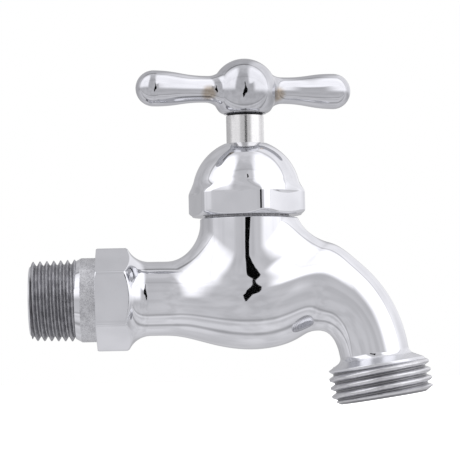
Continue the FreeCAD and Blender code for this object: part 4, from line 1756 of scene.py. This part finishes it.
    def threads(self) -> list[bpy.types.Object]:
        """Return the inlet's tapered thread and the outlet's hose thread.

        Returns:
            The two pieces.
        """
        inlet = ScrewThread(start=-0.664, pitch=1.814, turns=7.3, root=self.inlet_root_r, height=1.17,
                            taper=1 / 32, width=1.83, phase=math.radians(127.0), lead=9.42, lead_slope=1.03,
                            run_in=0.1, run_out=0.3, crest=1.1, softness=0.12, first=0.5)
        outlet = ScrewThread(start=-1.209, pitch=2.209, turns=4.6, root=self.hose_root_r, height=1.25,
                             taper=0.0, width=2.22, phase=math.radians(318.4), lead=11.2, lead_slope=1.7,
                             run_in=0.1, run_out=0.55, crest=1.45, softness=0.25)
        pieces = [inlet.wind("inlet_pipe_thread", INLET, self.finishes["thread"]),
                  outlet.wind("outlet_hose_thread", self.outlet, self.finishes["hose"])]
        for piece in pieces:
            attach(piece, Bodies.CASTING.value)
            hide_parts("body")
            report(piece, "screw thread")
        return pieces


@dataclass
class BonnetNut(Part):
    """Hexagon and dome of the bonnet nut."""

    axis_x: float = 57.4
    bottom: float = 21.2
    flats: float = 28.0
    turn: float = 14.0
    bottom_bevel_r: float = 14.0
    bottom_bevel: float = 1.2
    top_bevel_from: float = 27.2
    top_bevel_to: float = 29.8
    top_bevel_r: float = 13.8
    dome_r: float = 14.2
    dome_centre: float = 27.3
    recess_r: float = 5.7
    recess: float = 0.5
    stem_hole_r: float = 5.05
    packing_r: float = 8.5
    packing_top: float = 37.0
    packing_bottom: float = 31.3
    thread_r: float = 11.05

    def _envelope(self, z: Array) -> Array:
        """Return the radius that the two bevels leave.

        Args:
            z: the heights.

        Returns:
            The radii.
        """
        corner = 0.5 * self.flats / math.cos(math.radians(30.0))
        low = self.bottom_bevel_r + (z - self.bottom) * (corner - self.bottom_bevel_r) / self.bottom_bevel
        high = corner + (z - self.top_bevel_from) * (self.top_bevel_r - corner) / (
            self.top_bevel_to - self.top_bevel_from)
        return np.minimum(np.minimum(low, high), corner)

    def _dome(self, z: Array) -> Array:
        """Return the ball's radius at a height; below its middle it draws back inside the flats.

        Args:
            z: the heights.

        Returns:
            The radii.
        """
        rise = z - self.dome_centre
        ball = np.sqrt(np.maximum(self.dome_r ** 2 - rise ** 2, 1e-6))
        return np.where(rise > 0.0, ball, self.dome_r + rise * 1.2 - 0.3 * rise ** 2)

    def build(self) -> bpy.types.Object:
        """Return the nut as one closed piece.

        Returns:
            The piece.
        """
        place = upright(self.axis_x)
        form = HexForm(self.flats, 90.0 - self.turn, corner_round=1.8, blend=1.0, envelope=self._envelope,
                       core=self._dome, core_blend=0.8, crispness=30.0)
        columns = form.columns(36)
        edge, dome_from = 0.3, 32.0
        face, face_n = form.end(self.bottom, edge, self.thread_r + 0.6, columns, place)
        rows = np.concatenate([np.linspace(self.bottom + edge, 22.8, 8), np.linspace(23.1, 25.6, 7),
                               np.linspace(25.8, dome_from - 0.1, 56)])
        side, side_n = form.side(rows, columns, place)
        angles = np.linspace(math.asin((dome_from - self.dome_centre) / self.dome_r),
                             math.acos(self.recess_r / self.dome_r), 40)
        cos, sin = np.cos(columns)[None, :], np.sin(columns)[None, :]
        out, up = (self.dome_r * np.cos(angles))[:, None], (self.dome_r * np.sin(angles))[:, None]
        dome = place.points(self.dome_centre + up, out * cos, out * sin)
        dome_n = place.directions(up / self.dome_r, out / self.dome_r * cos, out / self.dome_r * sin)
        skin = Skin()
        outer = skin.add_grid(np.concatenate([face, side, dome]), np.concatenate([face_n, side_n, dome_n]))
        top = self.dome_centre + math.sqrt(self.dome_r ** 2 - self.recess_r ** 2)
        wall, floor, shelf = self.recess_r - 0.12, top - self.recess, self.packing_bottom + 0.3
        inside = Outline().run((top - 0.06, wall + 0.02, 0.01), (top - 0.2, wall, 0.08), (floor, wall, 0.08),
                               (floor, self.stem_hole_r, 0.12), (self.packing_top, self.stem_hole_r, 0.05),
                               (self.packing_top, self.packing_r, 0.2), (shelf, self.packing_r, 0.05),
                               (shelf, self.thread_r, 0.3), (self.bottom + 0.5, self.thread_r, 0.1),
                               (self.bottom, self.thread_r + 0.55), steps=3)
        inside.turn_over()
        # Painted shade: the walls and floor of the recess round the stem take the dark finish.
        shaded_strips = [at > floor - 0.2 and out > self.stem_hole_r - 0.1 for at, out in inside.points[:-1]]
        ids = turned(skin, inside, place, columns, [int(dark) for dark in shaded_strips])
        skin.bridge(outer[-1], ids[0])
        skin.bridge(ids[-1], outer[0])
        piece = skin.make("domed_bonnet_nut", [self.finishes["chrome"], self.finishes["painted_shade"]])
        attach(piece, Bodies.CASTING.value)
        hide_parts("bonnet_nut")
        report(piece, "hexagon and dome")
        return piece


@dataclass
class Stem(Part):
    """The turned stem between the disc and the handle."""

    axis_x: float = 57.4
    bottom: float = 11.3
    collar_r: float = 7.2
    thread_from: float = 13.1
    thread_to: float = 25.2
    thread_r: float = 6.25
    core_r: float = 5.45
    radius: float = 4.95
    shoulder: float = 49.6
    gap: tuple[float, float] = (47.75, 48.35)
    gap_r: float = 4.45
    top_r: float = 4.0
    top: float = 58.0
    socket_r: float = 2.95
    socket_top: float = 17.8
    pitch: float = 2.5

    def build(self) -> list[bpy.types.Object]:
        """Return the stem and its screw thread.

        Returns:
            The two pieces.
        """
        place = upright(self.axis_x)
        low, high = self.gap
        pole_r = 0.4
        outline = Outline().run(
            (self.socket_top, pole_r), (self.socket_top, self.socket_r, 0.2),
            (self.bottom, self.socket_r, 0.15), (self.bottom, self.collar_r, 0.2),
            (self.thread_from, self.collar_r, 0.2), (self.thread_from, self.core_r, 0.2),
            (self.thread_to - 0.5, self.core_r, 0.15), (self.thread_to, self.radius, 0.15),
            (low, self.radius, 0.15), (low, self.gap_r, 0.1), (high, self.gap_r, 0.1),
            (high, self.radius, 0.15), (self.shoulder, self.radius, 0.2), (self.shoulder, self.top_r, 0.15),
            (self.top - 0.6, self.top_r, 0.1), (self.top, self.top_r - 0.6, 0.1), (self.top, pole_r),
            steps=3)
        skin = Skin()
        # Painted shade: the groove under the handle takes the dark finish.
        marks = [1 if low - 0.06 < at < high + 0.06 else 0 for at, _ in outline.middles()]
        ids = turned(skin, outline, place, ROUND, marks)
        skin.close(ids[0], self.axis_x * EAST + self.socket_top * UP, -UP)
        skin.close(ids[-1], self.axis_x * EAST + self.top * UP, UP)
        shank = skin.make("satin_stem_bar", [self.finishes["satin"], self.finishes["painted_shade"]])
        thread = ScrewThread(start=self.thread_from + 0.9, pitch=self.pitch, turns=4.1, root=self.core_r,
                             height=self.thread_r - self.core_r, taper=0.0, width=1.7, crest=1.8,
                             softness=0.1, around=60, across=9)
        ridge = thread.wind("stem_lifting_thread", place, self.finishes["satin"])
        for piece in (shank, ridge):
            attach(piece, Bodies.STEM.value)
            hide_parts("stem")
            report(piece, "stem")
        return [shank, ridge]


@dataclass
class TeeHandle(Part):
    """The tee handle: ball hub and two swelling arms."""

    axis_x: float = 57.4
    turn: float = 20.0
    hub_r: float = 8.6
    hub_centre: float = 54.25
    hub_bottom: float = 48.2
    hub_corner: float = 0.9
    recess_r: float = 5.25
    recess_top: float = 49.6
    seat_r: float = 4.05
    seat_top: float = 58.3
    arm_height: float = 54.6
    arm_neck_r: float = 3.5
    arm_neck_reach: float = 11.0
    arm_swell_r: float = 4.7
    arm_reach: float = 29.9
    arm_pull: float = 0.455
    arm_fillet: float = 3.6
    step: float = 0.25
    cut: float = 49.4

    def __post_init__(self) -> None:
        """Work out the arm's profile."""
        end = self.arm_reach - self.arm_swell_r
        pull = (end - self.arm_neck_reach) * self.arm_pull
        t = np.linspace(0.0, 1.0, 600)
        s = 1.0 - t
        self.swell_x = (self.arm_neck_reach * s ** 3 + (self.arm_neck_reach + pull) * 3 * s * s * t
                        + (end - pull) * 3 * s * t * t + end * t ** 3)
        self.swell_r = self.arm_neck_r + (self.arm_swell_r - self.arm_neck_r) * (3 * s * t * t + t ** 3)
        self.end = end

    def local(self, u: Array, w: Array, z: Array) -> Array:
        """Return the distance to the handle, with u along the arms.

        Args:
            u, w, z: the places along the arms, across them and up.

        Returns:
            The distance, below zero in the metal.
        """
        rise = z - self.hub_centre
        from_hub = np.sqrt(u ** 2 + w ** 2 + rise ** 2 + 1e-9)
        hub = from_hub - self.hub_r
        up = z - self.arm_height
        reach = np.abs(u)
        past = np.maximum(reach - self.end, 0.0)
        from_arm = np.sqrt(w ** 2 + up ** 2 + past ** 2 + 1e-9)
        arm = from_arm - np.interp(reach, self.swell_x, self.swell_r)
        cosine = (w * w + up * rise + past * reach) / (from_arm * from_hub)
        tee = fillet_union(hub, arm, cosine, np.full_like(np.asarray(hub), self.arm_fillet))
        floor = self.hub_bottom - z
        a, b = tee + self.hub_corner, floor + self.hub_corner
        return (np.minimum(np.maximum(a, b), 0.0)
                + np.sqrt(np.maximum(a, 0.0) ** 2 + np.maximum(b, 0.0) ** 2) - self.hub_corner)

    def build(self) -> bpy.types.Object:
        """Return the handle as one closed piece.

        Returns:
            The piece.
        """
        skin = Skin()
        net = Net(self.local, (-31.5, -10.0, self.cut), (31.5, 10.0, 64.0), self.step)
        first = net.add_to(skin)
        axis = upright(0.0)
        columns = np.radians(np.arange(0.0, 360.0, 2.5))
        rows, normals = [], []
        heights = np.concatenate([[self.cut - 0.1], self.hub_bottom + self.hub_corner * (
            1.0 - np.sin(np.radians(np.linspace(0.0, 84.0, 11))))])
        for height in heights:
            ring = ring_on(self.local, height * UP, columns, 3.0, 16.0)
            rows.append(ring)
            normals.append(unit(gradient(self.local, ring)))
        outer = skin.add_grid(np.array(rows), np.array(normals))
        under = Outline().run((self.hub_bottom, self.recess_r + 0.3), (self.hub_bottom, self.recess_r, 0.12),
                              (self.recess_top, self.recess_r, 0.2), (self.recess_top, self.seat_r, 0.1),
                              (self.seat_top, self.seat_r, 0.2), (self.seat_top, 0.4), steps=3)
        ids = turned(skin, under, axis, columns)
        skin.close(ids[-1], self.seat_top * UP, -UP)
        skin.bridge(outer[-1], ids[0])
        skin.stitch(outer[0], net.borders[0] + first, axis)
        turn = math.radians(self.turn)
        rotate = np.array([[math.cos(turn), math.sin(turn), 0.0],
                           [-math.sin(turn), math.cos(turn), 0.0], [0.0, 0.0, 1.0]])
        skin.points = [p @ rotate + self.axis_x * EAST for p in skin.points]
        skin.normals = [n @ rotate for n in skin.normals]
        piece = skin.make("tee_handle_bar", [self.finishes["handle"]])
        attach(piece, Bodies.STEM.value)
        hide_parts("handle")
        report(piece, "ball hub and two arms")
        return piece


# Studio and camera


@dataclass
class Studio:
    """Pale floor, light tent with two soft lights, dark flag and camera.

    cloth holds the cloth's brightness by angle in degrees round the inlet's axis, upward from the
    camera's side. flag holds the dark card's outline: x from the bonnet's axis, and height.
    """

    middle: tuple[float, float, float] = (52.88, 0.0, 17.69)
    floor_level: float = -29.3
    tent_r: float = 1600.0
    camera_distance: float = 707.0
    camera_lens: float = 210.3
    camera_rise: float = -3.1
    camera_roll: float = 1.2
    cloth: tuple = ((-180, 0.48), (-140, 0.66), (-101, 0.78), (-97, 0.60), (-94, 0.44), (-90, 0.50),
                    (-86, 0.76), (-74, 0.80), (-66, 0.68), (-60, 0.87), (-57, 0.62), (-54, 0.44),
                    (-49, 0.66), (-20, 0.65), (8, 0.62), (35, 0.66), (46, 0.67), (48.5, 0.52), (51, 0.62),
                    (60, 0.67), (90, 0.78), (99, 0.80), (102, 0.28), (105, 0.28), (108, 0.62),
                    (140, 0.56), (180, 0.50))
    flag: tuple = ((-9, -14), (-12, 2), (-15, 20), (-10, 29), (-6, 48), (2, 66), (6, 84), (4, 126),
                   (11, 126), (14, 96), (19, 78), (27, 62), (27, 42), (23, 31), (8, 20), (3, 6), (-5, -12))

    def _tent_finish(self) -> bpy.types.Material:
        """Return the tent's light: grey cloth with a white soft light on each side.

        Returns:
            The material.
        """
        material, nodes = blank_material("tent_cloth")
        at = nodes.value("ShaderNodeTexCoord", out="Object")
        away = nodes.value("ShaderNodeVectorMath", {0: at}, operation="NORMALIZE")
        parts = nodes.add("ShaderNodeSeparateXYZ", {0: away})
        x, y, z = (Value(nodes, parts.outputs[k]) for k in range(3))
        heading = nodes.maths("ARCTAN2", x, y * -1.0) * (180.0 / math.pi)
        rise = nodes.maths("ARCSINE", z) * (180.0 / math.pi)
        around = nodes.maths("ARCTAN2", z, y * -1.0) / (2.0 * math.pi) + 0.5
        cloth = nodes.value("ShaderNodeValToRGB", {0: around}, stops=[
            (0.5 + at / 360.0, (v, v, v)) for at, v in self.cloth])
        cloth = cloth * nodes.ramp(nodes.noise(away, 3.2, 2.0, 0.5), 0.34, 0.66, 0.93, 1.09)
        slant = nodes.ramp(rise - heading * 0.5, 3.0, 13.0) * nodes.ramp(rise, 18.0, 27.0)
        slant = slant * nodes.ramp(heading, 13.0, 24.0)
        right = nodes.maths("MAXIMUM", nodes.ramp(heading, 29.0, 45.0) * nodes.ramp(rise, -9.0, 9.0), slant)
        right = right * nodes.ramp(x, 0.10, 0.34)
        far = nodes.ramp(heading, 80.0, 108.0, 1.0, 0.62) * nodes.ramp(heading, 164.0, 178.0, 1.0, 0.0)
        left = nodes.ramp(heading, -36.0, -26.0, 1.0, 0.0) * nodes.ramp(heading, -118.0, -72.0)
        left = left * nodes.ramp(x, -0.36, -0.14, 1.0, 0.0) * nodes.ramp(rise, -2.0, 14.0)
        light = cloth + right * far * 0.76 + left * 0.72
        emission = nodes.add("ShaderNodeEmission", {"Color": (0.975, 0.97, 1.0, 1.0), "Strength": light})
        nodes.add("ShaderNodeOutputMaterial", {"Surface": emission.outputs[0]})
        return material

    def _floor_finish(self) -> bpy.types.Material:
        """Return the pale floor, white where the camera sees it unshaded.

        Returns:
            The material.
        """
        material, nodes = blank_material("pale_floor")
        rays = nodes.add("ShaderNodeLightPath")
        camera = Value(nodes, rays.outputs["Is Camera Ray"])
        mirror = nodes.maths("MAXIMUM", rays.outputs["Is Glossy Ray"], rays.outputs["Is Transmission Ray"])
        cloth = nodes.add("ShaderNodeBsdfDiffuse", {"Color": (0.80, 0.80, 0.80, 1.0)})
        glow = nodes.add("ShaderNodeEmission", {"Color": (1.0, 1.0, 1.0, 1.0),
                                                "Strength": camera * 1.0 + mirror * 0.2})
        both = nodes.add("ShaderNodeAddShader", {0: cloth.outputs[0], 1: glow.outputs[0]})
        nodes.add("ShaderNodeOutputMaterial", {"Surface": both.outputs[0]})
        return material

    def _stage(self, name: str, points: Sequence, faces: Sequence, finish: bpy.types.Material,
               origin: Vector, seen: bool) -> bpy.types.Object:
        """Add a piece of the studio and mark it as stage.

        Args:
            name: the piece's name.
            points, faces: its mesh.
            finish: its material.
            origin: its place.
            seen: whether the camera sees it.

        Returns:
            The piece.
        """
        mesh = bpy.data.meshes.new(name)
        mesh.from_pydata(points, [], faces)
        mesh.materials.append(finish)
        piece = new_object(name, mesh)
        piece.location = origin
        piece.visible_camera = seen
        piece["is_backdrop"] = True
        return piece

    def build(self) -> None:
        """Add floor, tent, flag, white surroundings and camera."""
        size = 3.0
        corners = [(-size, -size, 0), (size, -size, 0), (size, size, 0), (-size, size, 0)]
        floor = self._stage("floor", corners, [(0, 1, 2, 3)], self._floor_finish(),
                            Vector((0.05, 0.0, self.floor_level * MM)), True)
        floor.visible_glossy = False
        rings, spokes, radius = 24, 48, self.tent_r * MM
        points = [(radius * math.sin(math.pi * i / rings) * math.cos(2 * math.pi * j / spokes),
                   radius * math.sin(math.pi * i / rings) * math.sin(2 * math.pi * j / spokes),
                   radius * math.cos(math.pi * i / rings)) for i in range(rings + 1) for j in range(spokes)]
        faces = [(i * spokes + j, i * spokes + (j + 1) % spokes, (i + 1) * spokes + (j + 1) % spokes,
                  (i + 1) * spokes + j) for i in range(rings) for j in range(spokes)]
        self._stage("light_tent", points, faces, self._tent_finish(), Vector(self.middle) * MM, False)
        black, nodes = blank_material("black_flag")
        cloth = nodes.add("ShaderNodeBsdfDiffuse", {"Color": (0.004, 0.004, 0.004, 1.0)})
        nodes.add("ShaderNodeOutputMaterial", {"Surface": cloth.outputs[0]})
        stand = [(x * MM, 0.0, z * MM) for x, z in self.flag]
        flag = self._stage("camera_flag", stand, [tuple(range(len(stand)))], black,
                           Vector((0.0574, -0.135, 0.0)), False)
        flag.visible_diffuse = False
        flag.visible_shadow = False
        world = bpy.context.scene.world or bpy.data.worlds.new("white")
        bpy.context.scene.world = world
        world.use_nodes = True
        nodes = Nodes(world.node_tree)
        back = nodes.add("ShaderNodeBackground", {"Color": (1.0, 1.0, 1.0, 1.0), "Strength": 1.0})
        nodes.add("ShaderNodeOutputWorld", {"Surface": back.outputs[0]})
        bpy.context.scene.view_settings.view_transform = "Standard"
        self._camera()

    def _camera(self) -> None:
        """Add the camera at the photograph's angle."""
        rise, roll = math.radians(-self.camera_rise), math.radians(self.camera_roll)
        view = Vector((0.0, math.cos(rise), math.sin(rise)))
        right, up = Vector((1.0, 0.0, 0.0)), Vector((0.0, -math.sin(rise), math.cos(rise)))
        turned_right = right * math.cos(roll) - up * math.sin(roll)
        turned_up = right * math.sin(roll) + up * math.cos(roll)
        lens = bpy.data.cameras.new("camera")
        lens.lens = self.camera_lens
        lens.sensor_width = 36.0
        lens.clip_start, lens.clip_end = 0.01, 20.0
        camera = new_object("camera", lens)
        turn = Matrix((turned_right, turned_up, -view)).transposed().to_4x4()
        eye = (Vector(self.middle) - view * self.camera_distance) * MM
        camera.matrix_world = Matrix.Translation(eye) @ turn
        bpy.context.scene.camera = camera


def dress_inner_pieces() -> None:
    """Give the solids inside the tap their finishes."""
    brass = BareBrass("bare_brass").material()
    rubber = SoftPiece("washer_rubber").material()
    fibre = SoftPiece("gasket_fibre", (0.36, 0.07, 0.045), (0.20, 0.035, 0.025), 0.65, 2600.0).material()
    cord = SoftPiece("packing_cord", (0.10, 0.10, 0.105), (0.035, 0.035, 0.037), 0.45, 2200.0,
                     420.0).material()
    finish_of = {"valve_seat": brass, "disc_holder": brass, "washer_screw": brass, "stem_guide": brass,
                 "packing_washer": brass, "seat_washer": rubber, "guide_gasket": fibre, "stem_packing": cord}
    for name, finish in finish_of.items():
        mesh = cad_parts[name].data
        mesh.materials.clear()
        mesh.materials.append(finish)
        LOG.info("%s: %s", name, finish.name)


def main() -> None:
    """Build the tap's pieces in order, then the studio."""
    logging.basicConfig(level=logging.INFO, format="%(message)s")
    finishes = {
        "chrome": PolishedChrome("polished_chrome").material(),
        "handle": PolishedChrome("handled_chrome", (0.65, 0.655, 0.68), (0.59, 0.595, 0.62), gloss=0.045,
                                 tarnish=(0.40, 0.33, 0.25), tarnish_r=2.8,
                                 tarnish_at=((48.2, -6.8, 53.2), (66.6, -0.8, 53.0))).material(),
        "thread": CutThread("cut_thread").material(),
        "land": CastLand("cast_land").material(),
        # The hose thread is bright at the crests and dark at the roots: painted shade in its grooves.
        "hose": CutThread("hose_thread", (0.80, 0.80, 0.82), (0.25, 0.25, 0.26), (0.5, 0.5, 6.0), 0.13,
                          0.000035, Casting().outlet, (12.05, 12.42)).material(),
        "soft": PolishedChrome("brushed_chrome", gloss=0.24).material(),
        "satin": SatinSteel("satin_steel").material(),
        # Painted shade: a dark matte colour laid where shade falls, in the stem's groove under the handle
        # and in the nut's recess round the stem.
        "painted_shade": SoftPiece("dark_painted_shade", (0.05, 0.048, 0.05), (0.012, 0.012, 0.014), 0.5, 1800.0).material(),
    }
    casting = Casting(finishes=finishes)
    casting.build()
    casting.threads()
    BonnetNut(finishes=finishes).build()
    Stem(finishes=finishes).build()
    TeeHandle(finishes=finishes).build()
    dress_inner_pieces()
    Studio().build()
    visual_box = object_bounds()
    as_numbers = [[[float(v) for v in corner] for corner in box] for box in (CAD_BOX, visual_box)]


if __name__ == "__main__":
    main()
